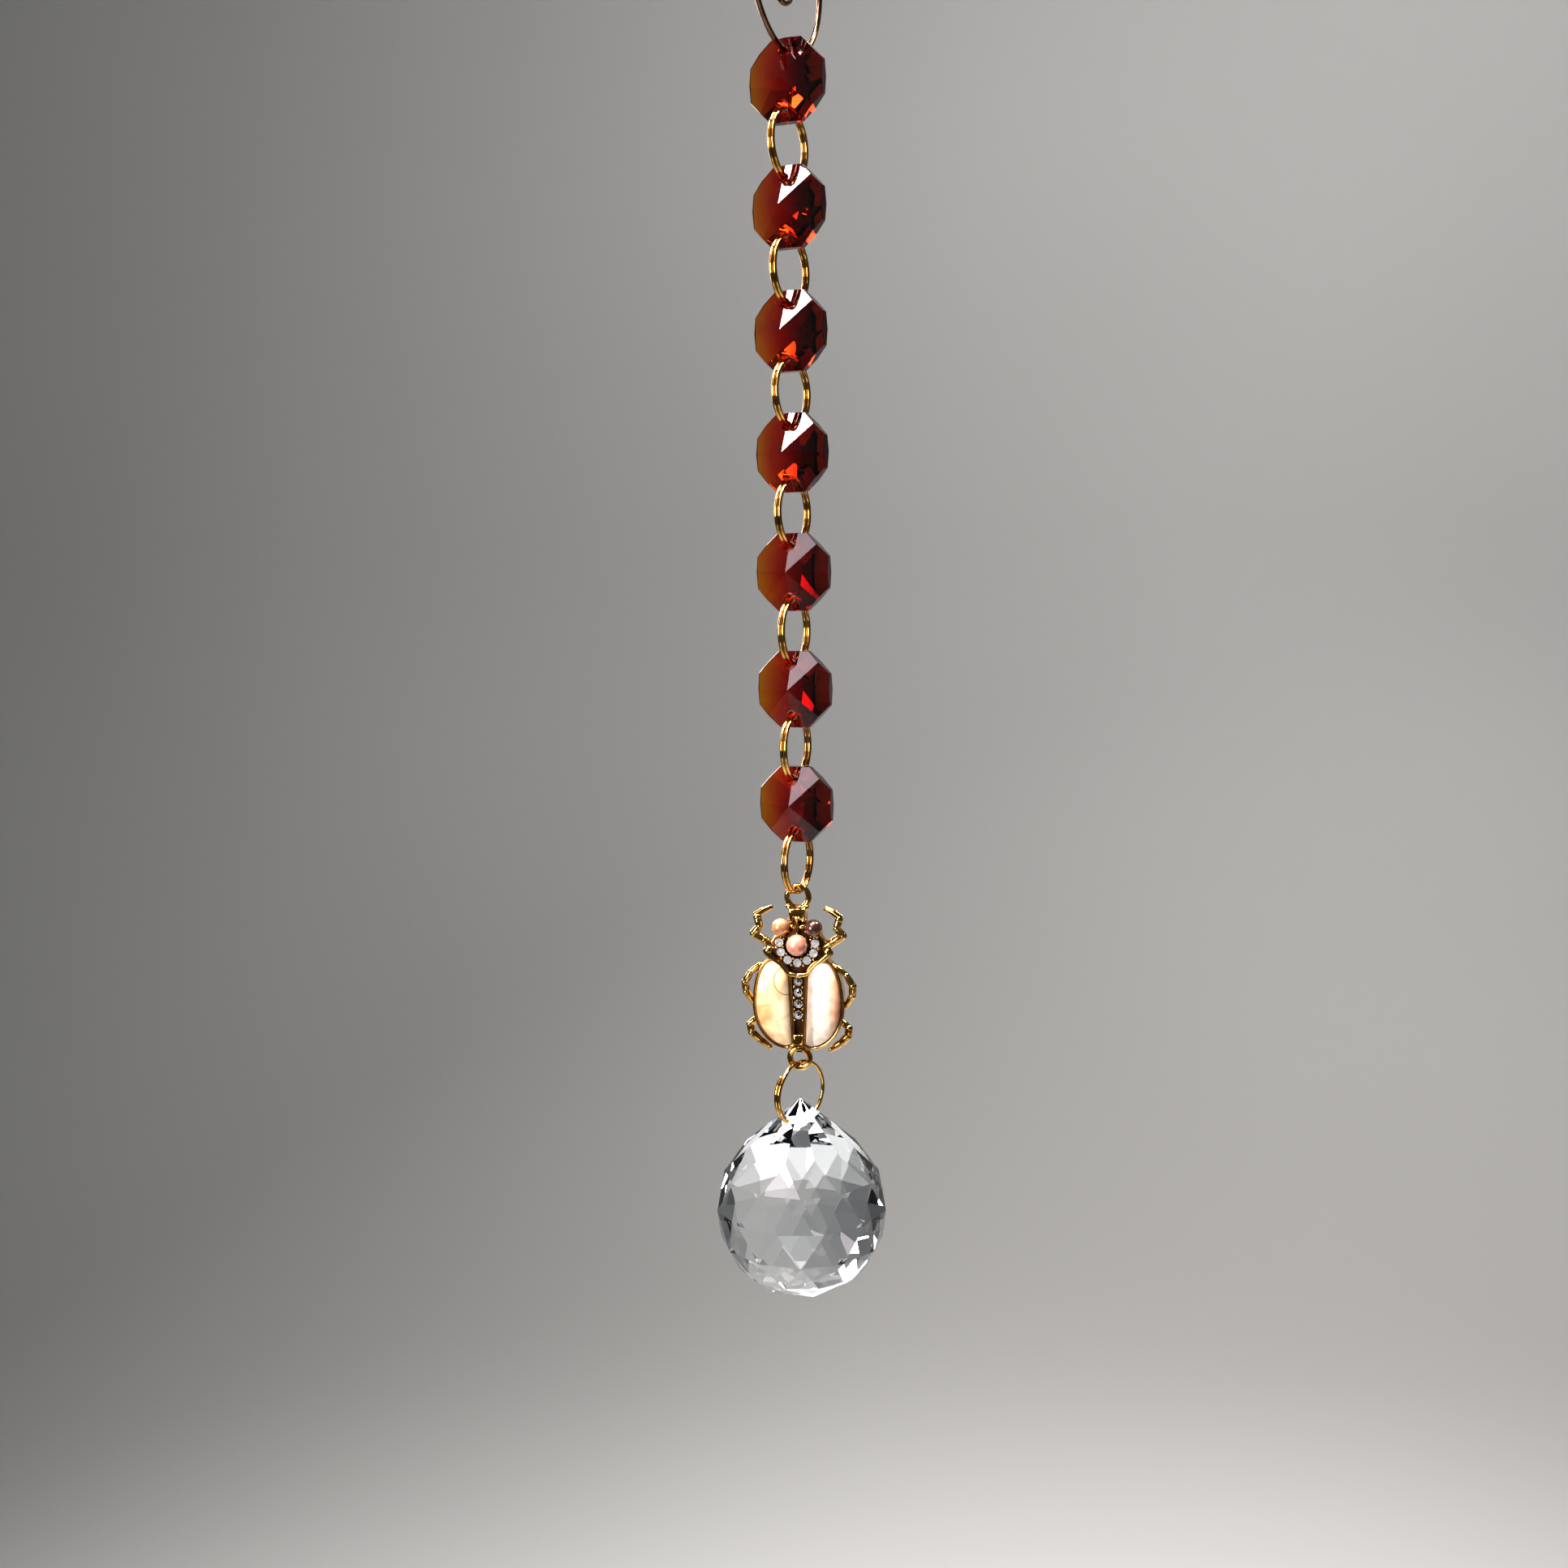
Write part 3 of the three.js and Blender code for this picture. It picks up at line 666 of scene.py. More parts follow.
# %% Oval beads and the V-shaped band
for side in (-1, 1):
    ball(casting, at(side * 2.35, 22.3, 2.15), 0.62, stretch=(1.15, 0.72, 0.8), turn=side * 8)
    ball(casting, at(side * 3.4, 18.9, 2.2), 0.55, stretch=(1.2, 0.6, 0.9), turn=side * 12)
    ball(casting, at(side * 4.2, 12.4, 1.6), 0.75, stretch=(1.0, 0.8, 1.1), turn=side * 30)
    band = [at(side * 16.6, 36.6, 2.0), at(side * 10.4, 41.8, 2.3), at(side * 4.8, 47.4, 2.45),
            at(0, 48.1, 2.5)]
    limb(casting, band, [0.62, 0.46, 0.42, 0.40], bulge=0.05, flatten=0.75)
    ball(casting, at(side * 15.9, 35.8, 1.7), 0.95, stretch=(1.1, 0.9, 0.8), turn=-side * 30)
print("head and band:", len(casting.faces), "faces")

# %% [markdown]
# ## Loops and legs
#
# The charm hangs by a closed loop at its head, and a second one at its tail carries the ball's
# ring. The six legs are cast in one with the body: thick upper parts, clear joints and small flat
# feet. Each leg is a row of joints, each with its place, height and radius, which is how one would
# draw an insect's leg, and the rods swell between the joints. The gilding rounds the legs off, so
# they come out a little fuller than they were drawn.

# %% Loops
TOP_OUTER, TOP_WIRE, TAIL_OUTER, TAIL_WIRE = 5.2, 1.1, 4.9, 1.15


def loop(bm, outer, wire, down):
    mean = (outer - wire) / 2
    turn = [Vector((mean * math.cos(a), mean * math.sin(a) - down, PLATE))
            for a in (2 * math.pi * k / 72 for k in range(72))]
    sweep(bm, turn, wire / 2, sides=20, closed=True)


loop(casting, TOP_OUTER, TOP_WIRE, TOP_OUTER / 2)
loop(casting, TAIL_OUTER, TAIL_WIRE, LENGTH - TAIL_OUTER / 2)

# %% Legs
FRONT_LEG = [(12.6, 34.6, 0.9, 0.72), (18.0, 30.6, 1.3, 0.74), (23.6, 26.9, 1.5, 0.66),
             (20.4, 23.0, 1.6, 0.58), (21.6, 18.4, 1.4, 0.66)]
MIDDLE_LEG = [(15.4, 42.4, 1.2, 0.50), (20.2, 43.4, 1.6, 0.44), (25.4, 47.6, 1.7, 0.50),
              (28.6, 53.2, 1.6, 0.62), (28.2, 58.6, 1.3, 0.60), (24.6, 64.6, 1.0, 0.40)]
HIND_LEG = [(22.0, 72.0, 1.2, 0.50), (26.4, 75.8, 1.5, 0.60), (25.6, 80.4, 1.3, 0.64),
            (21.4, 84.6, 1.0, 0.60), (16.4, 88.2, 0.8, 0.46)]
LEG_FULLNESS, LEG_TAPER, LEG_BULGE, KNEE_SIZE = 1.12, 0.92, 0.14, 1.08


def leg(side, joints):
    points = [at(side * x, y, z) for x, y, z, _ in joints]
    radii = [LEG_FULLNESS * radius for *_, radius in joints]
    for k in range(len(points) - 1):
        limb(casting, points[k:k + 2], [radii[k], radii[k + 1] * LEG_TAPER], bulge=LEG_BULGE)
    for point, radius in list(zip(points, radii))[1:]:
        ball(casting, point, radius * KNEE_SIZE, rows=8)


for side in (-1, 1):
    for joints in (FRONT_LEG, MIDDLE_LEG, HIND_LEG):
        leg(side, joints)
    foot = [at(side * 22.6, 17.6, 1.5), at(side * 18.6, 14.9, 1.2), at(side * 14.2, 13.0, 0.9)]
    limb(casting, foot, [0.66, 0.62, 0.50], bulge=0.0, flatten=0.62)
    claw = [at(side * 14.4, 13.1, 0.9), at(side * 13.0, 13.2, 1.0)]
    limb(casting, claw, [0.30, 0.12], bulge=0.0, sides=8)
print("with legs:", len(casting.faces), "faces")

# %% [markdown]
# ## Stones, pearls and the metal beads that hold them
#
# The collar stones lie on an arc under the big pearl and the spine stones run down the channel.
# Between them a setter raises small beads of metal from the casting. They belong to the casting, so
# they are added to it now, and the stones themselves come later as pieces of their own.

# %% Places of the stones and pearls
EYE_PEARL, COLLAR_PEARL, STONE = 3.3, 4.0, 1.65
eye_centres = {side: at(side * 8.75, 22.8, PLATE + 1.1) for side in (-1, 1)}
pearl_centre = at(0, 31.8, THORAX + 0.8)
arc = (COLLAR_PEARL + STONE) / 2 + 0.6
step = 2 * math.asin((STONE + 0.25) / 2 / arc)


def on_arc(place, radius, z=THORAX):
    a = place * step
    return Vector((pearl_centre.x + radius * math.sin(a),
                   pearl_centre.y - radius * math.cos(a), z))


collar_spots = [on_arc(k - 3, arc) for k in range(7)]
spine_spots = [at(0, 51.5) + Vector((0, -k * (STONE + 0.5), FLOOR)) for k in range(4)]

# %% Metal beads between the stones
for k in range(8):
    for radius, size in ((arc + 0.62, 0.32), (arc - 0.66, 0.28)):
        ball(casting, on_arc(k - 3.5, radius, THORAX + 0.42), size, rows=8)
    ball(casting, on_arc(k - 3.5, arc, THORAX + 0.1), 0.26, rows=6)
for spot in spine_spots:
    for side in (-1, 1):
        for end in (-1, 1):
            ball(casting, spot + Vector((side * 0.78, end * 1.0, 0.55)), 0.22, rows=6)

# %% Metal beads round the pearls, and the finished casting
EYE_PRONGS, COLLAR_PRONGS = (205, 245, 290, 335), (-38, 0, 38, 90, 142, 180, 218, 250, 290)


def around(degrees, radius, z):
    a = math.radians(degrees)
    return Vector((radius * math.cos(a), radius * math.sin(a), z))


for side in (-1, 1):
    for a in EYE_PRONGS:
        spot = around(a, 1.62, 0.1)
        spot.x *= -side
        ball(casting, eye_centres[side] + spot, 0.27, rows=8)
for a in COLLAR_PRONGS:
    ball(casting, pearl_centre + around(a, 1.98, -0.35), 0.26, rows=8)
# The casting's second finish is the painted shade on its plate, floor and neck tops.
beetle = make_piece("gilt_beetle_casting", casting, beetle_place, (gilt, recess_shade), ["scarab_body"],
                    sharp=38)
print("casting:", len(beetle.data.polygons), "faces")

# %% [markdown]
# ## Mother of pearl
#
# The wing cases are cream shell, domed and polished. The left one has tan and peach swirls and one
# fine curved line, the right one is whiter with a grey band along the spine and a pink one outside,
# which turns dark brown at the outer edge as painted shade of the gap inside the rim.
# The pattern is painted by nodes in a flat drawing space, which the mesh carries as its UV map: u
# runs across the charm, v down its length. A soft clear coat gives the deep shine of shell.

# %% Mix two colours, and find a thin arc
def mixed_colour(tree, factor, first, second, blend="MIX"):
    node = add(tree, "ShaderNodeMix", data_type="RGBA", blend_type=blend)
    sockets = node.inputs[0], node.inputs[6], node.inputs[7]
    for socket, value in zip(sockets, (factor, first, second)):
        if isinstance(value, bpy.types.NodeSocket):
            tree.links.new(value, socket)
        else:
            socket.default_value = value
    return node.outputs[2]


def near_arc(tree, uv, centre, radius):
    """One close to a circle about a centre in the drawing space, nothing further off."""
    offset = add(tree, "ShaderNodeVectorMath", {0: uv, 1: centre}, operation="SUBTRACT")
    reach = add(tree, "ShaderNodeVectorMath", {0: offset.outputs[0]}, operation="LENGTH")
    off = add(tree, "ShaderNodeMath", {0: reach.outputs["Value"], 1: radius}, operation="SUBTRACT")
    near = add(tree, "ShaderNodeMath", {0: off.outputs[0]}, operation="ABSOLUTE")
    return add(tree, "ShaderNodeMapRange", {
        "Value": near.outputs[0], "From Min": 0.0012, "From Max": 0.0048,
        "To Min": 0.85, "To Max": 0.0}).outputs["Result"]


# %% Shell recipe
def shell_material(name, clouds, bands, cloud_size, line=None):
    material, tree, shader = start_material(name)
    uv = add(tree, "ShaderNodeTexCoord").outputs["UV"]
    swirl = add(tree, "ShaderNodeTexNoise", {
        "Vector": uv, "Scale": cloud_size, "Detail": 4.0, "Roughness": 0.45, "Distortion": 0.9})
    u = add(tree, "ShaderNodeSeparateXYZ", {"Vector": uv}).outputs["X"]
    waver = add(tree, "ShaderNodeTexNoise", {"Vector": uv, "Scale": 14.0, "Detail": 3.0})
    wavering = add(tree, "ShaderNodeMath", {0: waver.outputs["Fac"], 1: 0.03}, operation="MULTIPLY")
    place = add(tree, "ShaderNodeMath", {0: u, 1: wavering.outputs[0]}, operation="ADD")
    across = add(tree, "ShaderNodeMapRange", {
        "Value": place.outputs[0], "From Min": 0.06, "From Max": 0.24})
    colour = mixed_colour(tree, 1.0, ramp(tree, swirl.outputs["Fac"], clouds),
                          ramp(tree, across.outputs["Result"], bands, "EASE"), "MULTIPLY")
    if line:
        colour = mixed_colour(tree, near_arc(tree, uv, *line[:2]), colour, (*line[2], 1))
    tree.links.new(colour, shader.inputs["Base Color"])
    grain = add(tree, "ShaderNodeTexNoise", {"Vector": uv, "Scale": 200.0, "Detail": 4.0})
    relief = add(tree, "ShaderNodeBump", {
        "Height": grain.outputs["Fac"], "Strength": 0.05, "Distance": 0.0002})
    tree.links.new(relief.outputs["Normal"], shader.inputs["Normal"])
    rough = add(tree, "ShaderNodeMapRange", {
        "Value": swirl.outputs["Fac"], "To Min": 0.16, "To Max": 0.32})
    tree.links.new(rough.outputs["Result"], shader.inputs["Roughness"])
    set_plain(shader, Coat_Weight=0.6, Coat_Roughness=0.06, IOR=1.55, Sheen_Weight=0.15)
    return material


# %% Two shell finishes
CREAM, TAN, PEACH = (0.80, 0.65, 0.45), (0.54, 0.31, 0.15), (0.71, 0.47, 0.27)
HAIRLINE = (0.0394, 0.505, 0), 0.080, (0.20, 0.10, 0.05)
shell_left = shell_material(
    "shell_left", [(0.33, TAN), (0.46, PEACH), (0.60, CREAM)],
    [(0.0, (1.0, 0.97, 0.92)), (0.45, (1.0, 0.94, 0.84)), (0.80, (1.0, 0.84, 0.62)),
     (1.0, (0.95, 0.68, 0.38))], 9.0, line=HAIRLINE)
# The right case's last colour, dark brown at its outer edge, is painted shade of the gap inside the
# rim.
shell_right = shell_material(
    "shell_right", [(0.30, (0.66, 0.52, 0.41)), (0.58, (0.82, 0.73, 0.63))],
    [(0.0, (0.34, 0.27, 0.22)), (0.17, (0.42, 0.36, 0.32)), (0.27, (1.0, 0.98, 0.95)),
     (0.62, (1.0, 0.93, 0.87)), (0.78, (0.92, 0.66, 0.52)), (0.90, (0.74, 0.40, 0.24)),
     (1.0, (0.30, 0.11, 0.045))], 14.0)
print("shells:", shell_left.name, shell_right.name)

# %% [markdown]
# ## Wing cases
#
# A wing case is a low dome over its outline. Rings of points shrink towards the middle and rise as
# a circle does, so the shell is steep at its edge and nearly flat on top, and light slides over it.

# %% Two domed wing cases
WING_EDGE, WING_DOME, WING_GAP = 2.2, 1.5, 0.12


def wing_case(outline):
    bm = bmesh.new()
    drawn = bm.loops.layers.uv.new("UVMap")
    centre = sum(outline, Vector()) / len(outline)
    low = PLATE + WING_GAP
    levels = [(1.0, low)]
    levels += [(math.cos(a), WING_EDGE + WING_DOME * math.sin(a))
               for a in (math.radians(90 * k / 22) for k in range(22))]
    rows = [[bm.verts.new((*centre.lerp(p, s).xy, z)) for p in outline] for s, z in levels]
    skin(bm, rows)
    top = bm.verts.new((*centre.xy, WING_EDGE + WING_DOME))
    for n in range(len(outline)):
        bm.faces.new((rows[-1][n], rows[-1][(n + 1) % len(outline)], top))
    bm.faces.new(rows[0][::-1])
    for face in bm.faces:
        for corner in face.loops:
            x, y, _ = corner.vert.co
            corner[drawn].uv = (abs(x) / LENGTH, -y / LENGTH)
    return bm


for word, side, finish in (("left", -1, shell_left), ("right", 1, shell_right)):
    make_piece(f"shell_wing_{word}", wing_case(facing(wing, side)), beetle_place, [finish],
               [f"wing_inlay_{word}"], sharp=60)
print("wing cases set in their rims")

# %% [markdown]
# ## Pearls
#
# Three half-drilled pearls are glued into cups: two eyes and a larger one below them. The left eye
# is peach with a golden side, the right eye is dark copper, the middle one salmon pink. Pearl is
# dull and shiny at once: a soft body with a clear coat, and slow clouds of colour over it. One
# recipe with three pairs of colours keeps them a family.

# %% Pearl recipe
def pearl_material(name, dark, light, metallic):
    material, tree, shader = start_material(name)
    where = add(tree, "ShaderNodeTexCoord").outputs["Object"]
    cloud = add(tree, "ShaderNodeTexNoise", {
        "Vector": where, "Scale": 420.0, "Detail": 3.0, "Distortion": 0.6})
    colour = ramp(tree, cloud.outputs["Fac"], [(0.34, dark), (0.68, light)])
    tree.links.new(colour, shader.inputs["Base Color"])
    rough = add(tree, "ShaderNodeMapRange", {
        "Value": cloud.outputs["Fac"], "To Min": 0.24, "To Max": 0.36})
    tree.links.new(rough.outputs["Result"], shader.inputs["Roughness"])
    grain = add(tree, "ShaderNodeTexNoise", {"Vector": where, "Scale": 3000.0, "Detail": 2.0})
    relief = add(tree, "ShaderNodeBump", {
        "Height": grain.outputs["Fac"], "Strength": 0.03, "Distance": 0.0001})
    tree.links.new(relief.outputs["Normal"], shader.inputs["Normal"])
    set_plain(shader, Metallic=metallic, Coat_Weight=0.8, Coat_Roughness=0.08)
    return material


# %% Three pearls
peach = pearl_material("pearl_peach", (0.44, 0.17, 0.065), (0.68, 0.36, 0.18), 0.40)
salmon = pearl_material("pearl_salmon", (0.58, 0.20, 0.12), (0.74, 0.34, 0.22), 0.35)
copper = pearl_material("pearl_copper", (0.050, 0.015, 0.009), (0.15, 0.055, 0.036), 0.70)


def pearl(name, centre, across, material, node):
    bm = bmesh.new()
    ball(bm, centre, across / 2, rows=28)
    make_piece(name, bm, beetle_place, [material], [node], sharp=80)


pearl("pearl_eye_left", eye_centres[-1], EYE_PEARL, peach, "eye_pearl_left")
pearl("pearl_eye_right", eye_centres[1], EYE_PEARL, copper, "eye_pearl_right")
pearl("pearl_collar", pearl_centre, COLLAR_PEARL, salmon, "collar_pearl")
print("pearls set")

# %% [markdown]
# ## Clear stones
#
# The rhinestones are tiny brilliants: a flat table, a ring of crown facets, a girdle, and a
# silvered back that throws the light out again. Here the back is a cone of facets under the girdle
# with a foil finish of its own. The glass is clear with a faint tint and plain see-through values.

# %% Clear glass recipe
def clear_glass(name, tint, other, scale, ior):
    material, tree, shader = start_material(name)
    where = add(tree, "ShaderNodeTexCoord").outputs["Object"]
    cloud = add(tree, "ShaderNodeTexNoise", {"Vector": where, "Scale": scale, "Detail": 2.0})
    colour = ramp(tree, cloud.outputs["Fac"], [(0.35, tint), (0.65, other)])
    tree.links.new(colour, shader.inputs["Base Color"])
    set_plain(shader, Transmission_Weight=1.0, Roughness=0.0, IOR=ior)
    return material


crystal = clear_glass("crystal", (0.90, 0.95, 1.0), (0.97, 0.99, 1.0), 60.0, 1.56)
rhinestone = clear_glass("rhinestone", (0.90, 0.93, 0.97), (1.0, 1.0, 1.0), 500.0, 1.75)
foil = metal("stone_foil", (0.92, 0.93, 0.95), (1.0, 1.0, 1.0), 0.22, 0.40)
set_plain(foil.node_tree.nodes["Principled BSDF"], Metallic=0.4)

# %% A stone's corners and cuts
STONE_ROWS = [(0.10, -0.42, 0), (1.0, 0.42, 0.5), (1.0, 0.62, 0.5), (0.55, 1.13, 0)]
STONE_LIFT = 0.16


def stone_row(bm, spot, z, turn, radius):
    places = (math.radians(turn) + k * math.pi / 4 for k in range(8))
    return [bm.verts.new((spot.x + radius * math.cos(a), spot.y + radius * math.sin(a), z))
            for a in places]


def stone(spot, seat, turn):
    r = STONE / 2
    bm = bmesh.new()
    rows = [stone_row(bm, spot, seat + STONE_LIFT + height * r, turn + 45 * offset, radius * r)
            for radius, height, offset in STONE_ROWS]
    foiled = [bm.faces.new(rows[0][::-1])]
    bm.faces.new(rows[-1])
    for k in range(8):
        m = (k + 1) % 8
        foiled.append(bm.faces.new((rows[0][k], rows[0][m], rows[1][k])))
        foiled.append(bm.faces.new((rows[0][m], rows[1][m], rows[1][k])))
        bm.faces.new((rows[1][k], rows[1][m], rows[2][m], rows[2][k]))
        bm.faces.new((rows[2][k], rows[3][m], rows[3][k]))
        bm.faces.new((rows[2][k], rows[2][m], rows[3][m]))
    for face in foiled:
        face.material_index = 1
    return bm


# %% Eleven set stones
SETTINGS = [("collar", collar_spots, THORAX, 17), ("spine", spine_spots, FLOOR, 23)]
for row, spots, seat, turn in SETTINGS:
    for k, spot in enumerate(spots):
        make_piece(f"stone_{row}_{k + 1}", stone(spot, seat, turn * k), beetle_place,
                   [rhinestone, foil], [f"{row}_stone_{k + 1}"], sharp=5)
print("stones:", len(collar_spots) + len(spine_spots))

# %% [markdown]
# ## The ring that carries the ball
#
# This one is a single thin wire whose ends lie side by side for a quarter of the way, at the
# front. It is swept like the split rings: a formula steps one end aside before the two meet.

# %% Ball ring
BALL_WIRE, BALL_RING_MEAN, BORE_BELOW_TIP = 0.73, 6.0, 4.75
OVERLAP_FROM, OVERLAP_TO, LEAVE = 48, 132, 26
SIDE_STEP = (BALL_WIRE + 0.05) / 2
ball_ring_height = ball_top - BORE_BELOW_TIP + BALL_RING_MEAN


def ball_ring_point(t):
    angle = OVERLAP_FROM + (360 + OVERLAP_TO - OVERLAP_FROM) * t
    shift = (smooth(angle, 360 + OVERLAP_FROM - LEAVE, 360 + OVERLAP_FROM)
             + smooth(angle, OVERLAP_TO, OVERLAP_TO + LEAVE) - 1) * SIDE_STEP
    return on_ring(BALL_RING_MEAN, angle, shift)


bm = bmesh.new()
sweep(bm, [ball_ring_point(k / 160) for k in range(161)], BALL_WIRE / 2, sides=14)
make_piece("gilt_ball_ring", bm, stand_at(ball_ring_height, BALL_TURN), [gilt],
           ["ball_ring"], sharp=50)
print("ball ring at", round(ball_ring_height, 2), "mm")

# %% [markdown]
# ## The faceted ball
#
# Rows of corners lie on a sphere, each row turned half a step against the row above, so the cuts
# between them are triangles. Above them long cuts run up to the drilled tip. Again a hull gives the
# cuts, and their edges stay crisp. The curved bore is drilled from both sides. A drill leaves
# glass matt, so the bore gets a frosted finish. The renderer sends no lamp light through glass into
# a bore, so a faint glow of its own, painted light, stands for it and makes the tip shine white
# from inside.

# %% Corners of the ball
BALL_RADIUS, TIP_SLOPE, TIP_BLUNT = 16.5, 49.5, 0.2
tip_height = BALL_RADIUS / math.sin(math.radians(TIP_SLOPE)) - TIP_BLUNT
ROWS = [(TIP_SLOPE, 12), (27, 12), (4, 12), (-19, 12), (-41, 12), (-62, 6), (-81, 6)]


def ball_points():
    tip = TIP_BLUNT * math.tan(math.radians(TIP_SLOPE))
    points = [(tip * math.cos(math.pi * k / 3), tip * math.sin(math.pi * k / 3), tip_height)
              for k in range(6)]
    for row, (up, count) in enumerate(ROWS):
        radius = BALL_RADIUS * math.cos(math.radians(up))
        for k in range(count):
            a = 2 * math.pi * (k + 0.5 * (row % 2)) / count
            points.append((radius * math.cos(a), radius * math.sin(a),
                           BALL_RADIUS * math.sin(math.radians(up))))
    return points


# %% Bore through the tip
BORE_HALF, BORE_ROOM = 22.5, 0.24


def ball_cutters():
    half = math.radians(BORE_HALF)
    drop = BALL_RING_MEAN * (1 - math.cos(half))
    radius = BALL_WIRE / 2 + drop / 2 + BORE_ROOM
    middle = BALL_RING_MEAN * math.cos(half) + drop / 2
    length = 2 * BALL_RING_MEAN * math.sin(half)
    centre = tip_height - BORE_BELOW_TIP + BALL_RING_MEAN
    for side in (-1, 1):
        place = (Matrix.Translation((0, 0, centre)) @ Matrix.Rotation(side * half, 4, "X")
                 @ Matrix.Translation((0, side * (length - BALL_WIRE), -middle))
                 @ Matrix.Rotation(math.radians(90), 4, "X"))
        yield cutter(radius, 3 * length, place)


# %% Frosted bore with a painted glow, and the finished ball
frosted_glowing_bore = clear_glass("frosted_bore_painted_glow", (0.90, 0.91, 0.93), (1.0, 1.0, 1.0), 900.0, 1.5)
# The bore's emission is painted light: a glow standing in for light that would reach it through the
# glass.
set_plain(frosted_glowing_bore.node_tree.nodes["Principled BSDF"], Transmission_Weight=0.35, Roughness=0.6,
          Emission_Color=(0.90, 0.95, 1.0, 1.0), Emission_Strength=0.45)
cut_ball = drilled(hull(ball_points()), ball_cutters(), matt_glowing_bore=True)
crystal_ball = make_piece("cut_crystal_ball", cut_ball,
                          stand_at(ball_top - tip_height, BALL_TURN), [crystal, frosted_glowing_bore],
                          ["crystal_ball"], sharp=8)
print("ball:", len(crystal_ball.data.polygons), "faces")

# %% [markdown]
# ## Floor and backdrop
#
# The chain hangs free over a plain pale floor that sweeps up into a backdrop, so that no line runs
# behind it. Both are part of the studio and not of the object. One bent sheet does both jobs.

# %% A swept pale backdrop, in metres
FLOOR_FRONT, FLOOR_BACK, SHEET_TOP, SHEET_HALF = -3.0, 0.9, 2.4, 3.4
BEND, FLOOR_BELOW_BALL = 0.7, 0.55


def backdrop():
    bm = bmesh.new()
    profile = [(FLOOR_FRONT, 0.0), (FLOOR_BACK, 0.0)]
    profile += [(FLOOR_BACK + BEND * math.sin(a), BEND - BEND * math.cos(a))
                for a in (math.radians(90 * k / 16) for k in range(1, 17))]
    profile += [(FLOOR_BACK + BEND, SHEET_TOP)]
    rows = [[bm.verts.new((x, y, z)) for x in (-SHEET_HALF, SHEET_HALF)] for y, z in profile]
    for a, b in zip(rows, rows[1:]):
        bm.faces.new((a[0], a[1], b[1], b[0]))
    mesh = bpy.data.meshes.new("backdrop")
    bm.to_mesh(mesh)
    bm.free()
    mesh.polygons.foreach_set("use_smooth", [True] * len(mesh.polygons))
    return bpy.data.objects.new("backdrop", mesh)


def plain_paper():
    material, tree, shader = start_material("pale_paper")
    where = add(tree, "ShaderNodeTexCoord").outputs["Object"]
    tone = add(tree, "ShaderNodeTexNoise", {"Vector": where, "Scale": 1.5, "Detail": 1.0})
    colour = ramp(tree, tone.outputs["Fac"], [(0.3, (0.57, 0.56, 0.55)), (0.7, (0.61, 0.60, 0.59))])
    tree.links.new(colour, shader.inputs["Base Color"])
    set_plain(shader, Roughness=0.9)
    return material


# %% Put the backdrop in its place
floor = backdrop()
scene.collection.objects.link(floor)
floor.data.materials.append(plain_paper())
floor.rotation_euler = (0, 0, math.radians(VIEW_AROUND))
floor.location = (0, 0, ball_top * MM - FLOOR_BELOW_BALL)
floor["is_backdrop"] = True
print("floor at", round(floor.location.z * 1000), "mm")

# %% [markdown]
# ## Light
#
# Polished metal and cut glass only show what they mirror, so lamps matter as much as finishes. A
# small warm window high on the left acts as the sun, a softer panel fills from the front left, and
# a panel overhead makes a pool of light on the floor, which the ball bends up into its white
# shoulder. The rest are small windows, each put where certain cuts look: mirroring the line of
# sight in a cut gives the place. One of them whitens an upper cut on the second to fourth beads,
# another gives the last three beads a dull one, and the others light the glints in the amber and
# the ball's tip and lower edge. The room stays dim, because glass and metal need darkness.

# %% One lamp, placed as seen from the camera's side
def lamp(name, place, target, size, power, colour=(1, 1, 1), spread=180):
    light = bpy.data.lights.new(name, "AREA")
    light.shape, light.size, light.size_y = "RECTANGLE", size[0], size[1]
    light.energy, light.color, light.spread = power, colour, math.radians(spread)
    obj = bpy.data.objects.new(name, light)
    scene.collection.objects.link(obj)
    turned = Matrix.Rotation(math.radians(VIEW_AROUND), 3, "Z")
    obj.location = turned @ Vector(place)
    aim = turned @ Vector(target) - obj.location
    obj.rotation_euler = aim.to_track_quat("-Z", "Y").to_euler()
    obj.visible_camera = False


# %% Lamps that light the whole chain
UPPER_BEADS, CHAIN, BALL = (0, 0, -0.075), (0, 0, -0.14), (0, 0, -0.23)
WARM, ROSE, COOL = (1.0, 0.96, 0.90), (1.0, 0.87, 0.90), (0.97, 0.98, 1.0)
lamp("sun_window", (-0.442, -0.179, 0.63), CHAIN, (0.12, 0.12), 4.0, WARM, 90)
lamp("front_fill", (-0.594, -0.535, -0.05), CHAIN, (0.25, 0.40), 1.3, (1.0, 0.97, 0.93), 70)
lamp("top", (-0.08, -0.10, 0.72), CHAIN, (0.30, 0.30), 4.2, COOL, 60)
lamp("top_right", (0.385, 0.05, 0.476), BALL, (0.15, 0.15), 0.6, (1.0, 0.98, 0.95), 60)
lamp("backdrop_wash", (0.75, 0.3, 1.2), (0.55, 1.6, -0.2), (1.4, 0.6), 9.3, (1.0, 0.99, 0.97), 120)

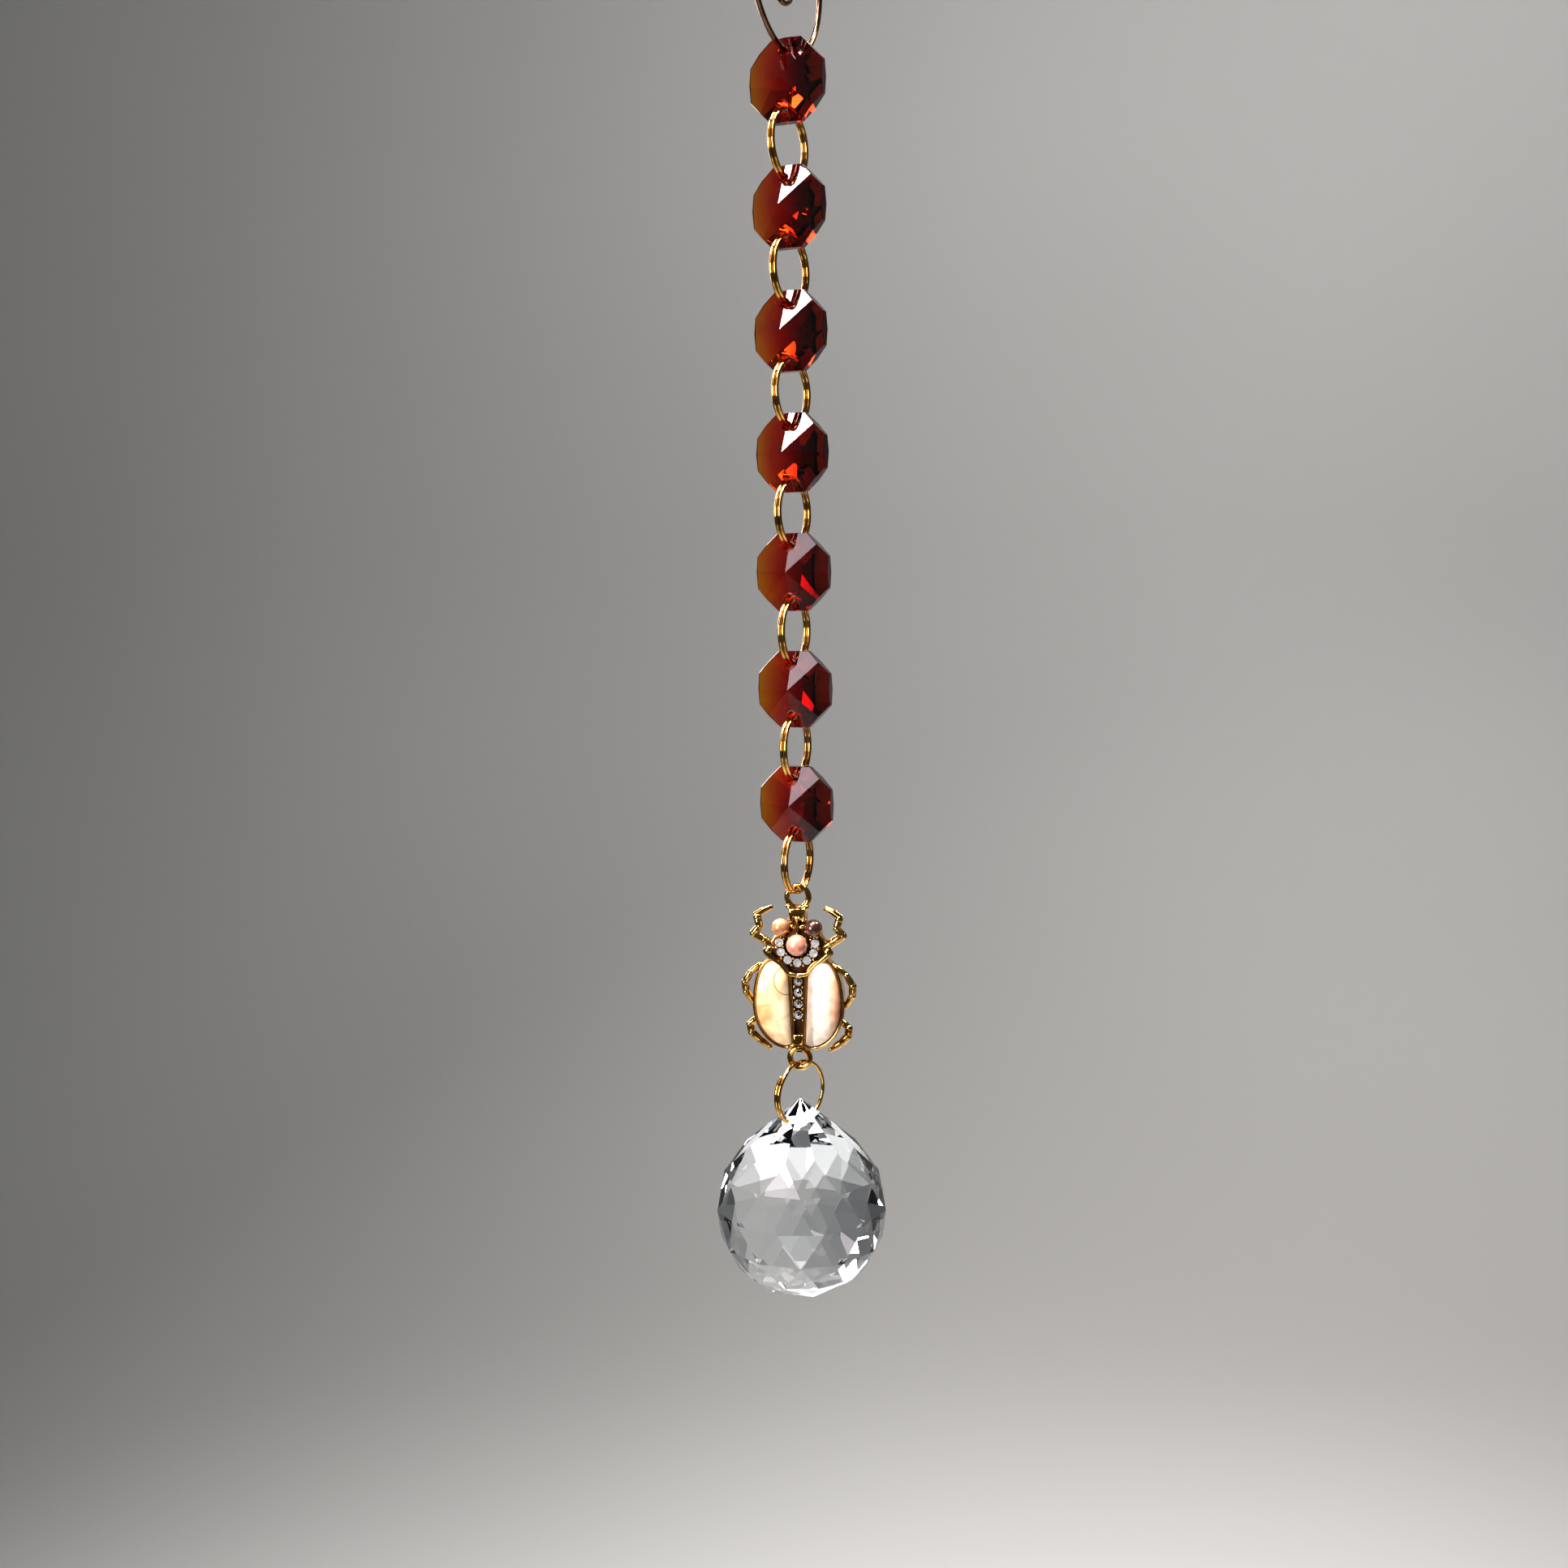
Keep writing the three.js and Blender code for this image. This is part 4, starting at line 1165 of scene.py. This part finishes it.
# %% Small windows for certain cuts
lamp("bead_shine", (-0.327, -0.236, 0.38), UPPER_BEADS, (0.10, 0.16), 0.42, ROSE, 60)
lamp("bead_sheen", (-0.20, -0.34, 0.175), CHAIN, (0.12, 0.26), 0.075, (1.0, 0.84, 0.90), 60)
lamp("back_window", (-0.45, 0.62, 0.12), CHAIN, (0.30, 0.50), 1.1, (1, 1, 1), 70)
lamp("ball_glow", (0.115, 0.285, -0.637), BALL, (0.26, 0.22), 0.34, (0.96, 0.98, 1.0))
lamp("tip_front", (-0.03, -0.36, -0.435), BALL, (0.18, 0.10), 0.17, (0.98, 0.99, 1.0))

# %% A dim room and plain display colours
world = bpy.data.worlds.new("studio")
scene.world = world
world.use_nodes = True
sky = world.node_tree.nodes["Background"]
sky.inputs["Color"].default_value = (0.9, 0.94, 1.0, 1)
sky.inputs["Strength"].default_value = 0.10
scene.view_settings.view_transform = "Standard"

# %% [markdown]
# ## Camera
#
# The view is from the right front and a little above, with the chain in the middle of the frame.
# The lens is as long as the picture's own: heights of the beads over their spacing fix it.

# %% Camera at the picture's viewing angle
SENSOR, LENS, VIEW_DOWN, VIEW_ROLL = 36.0, 36.06, 7.51, -0.8
AWAY, BESIDE, HEIGHT = 287.6, 2.3, -118.0
camera_data = bpy.data.cameras.new("camera")
camera_data.sensor_width, camera_data.lens = SENSOR, LENS
camera = bpy.data.objects.new("camera", camera_data)
scene.collection.objects.link(camera)
scene.camera = camera
angle, down, roll = (math.radians(a) for a in (VIEW_AROUND, VIEW_DOWN, VIEW_ROLL))
camera.location = Vector((AWAY * math.sin(angle) - BESIDE * math.cos(angle),
                          -AWAY * math.cos(angle) - BESIDE * math.sin(angle), HEIGHT)) * MM
forward = Vector((-math.sin(angle) * math.cos(down), math.cos(angle) * math.cos(down),
                  -math.sin(down)))
camera.rotation_mode = "QUATERNION"
level = forward.to_track_quat("-Z", "Y")
camera.rotation_quaternion = level @ Matrix.Rotation(roll, 3, "Z").to_quaternion()
camera_data.clip_start, camera_data.clip_end = 0.01, 20.0
camera_data.dof.use_dof = False
print("camera", [round(c * 1000) for c in camera.location], "mm")

# %% [markdown]
# ## Last measure
#
# The finer pieces must stay within the measured model's box, and how far they reach outside it is
# printed.

# %% Print how far the pieces reach outside the box
low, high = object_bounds()
outside = [max(a - b, d - c) for a, b, c, d in zip(cad_low, low, cad_high, high)]
print("outside the measured box by", [round(1000 * x, 3) for x in outside], "mm")
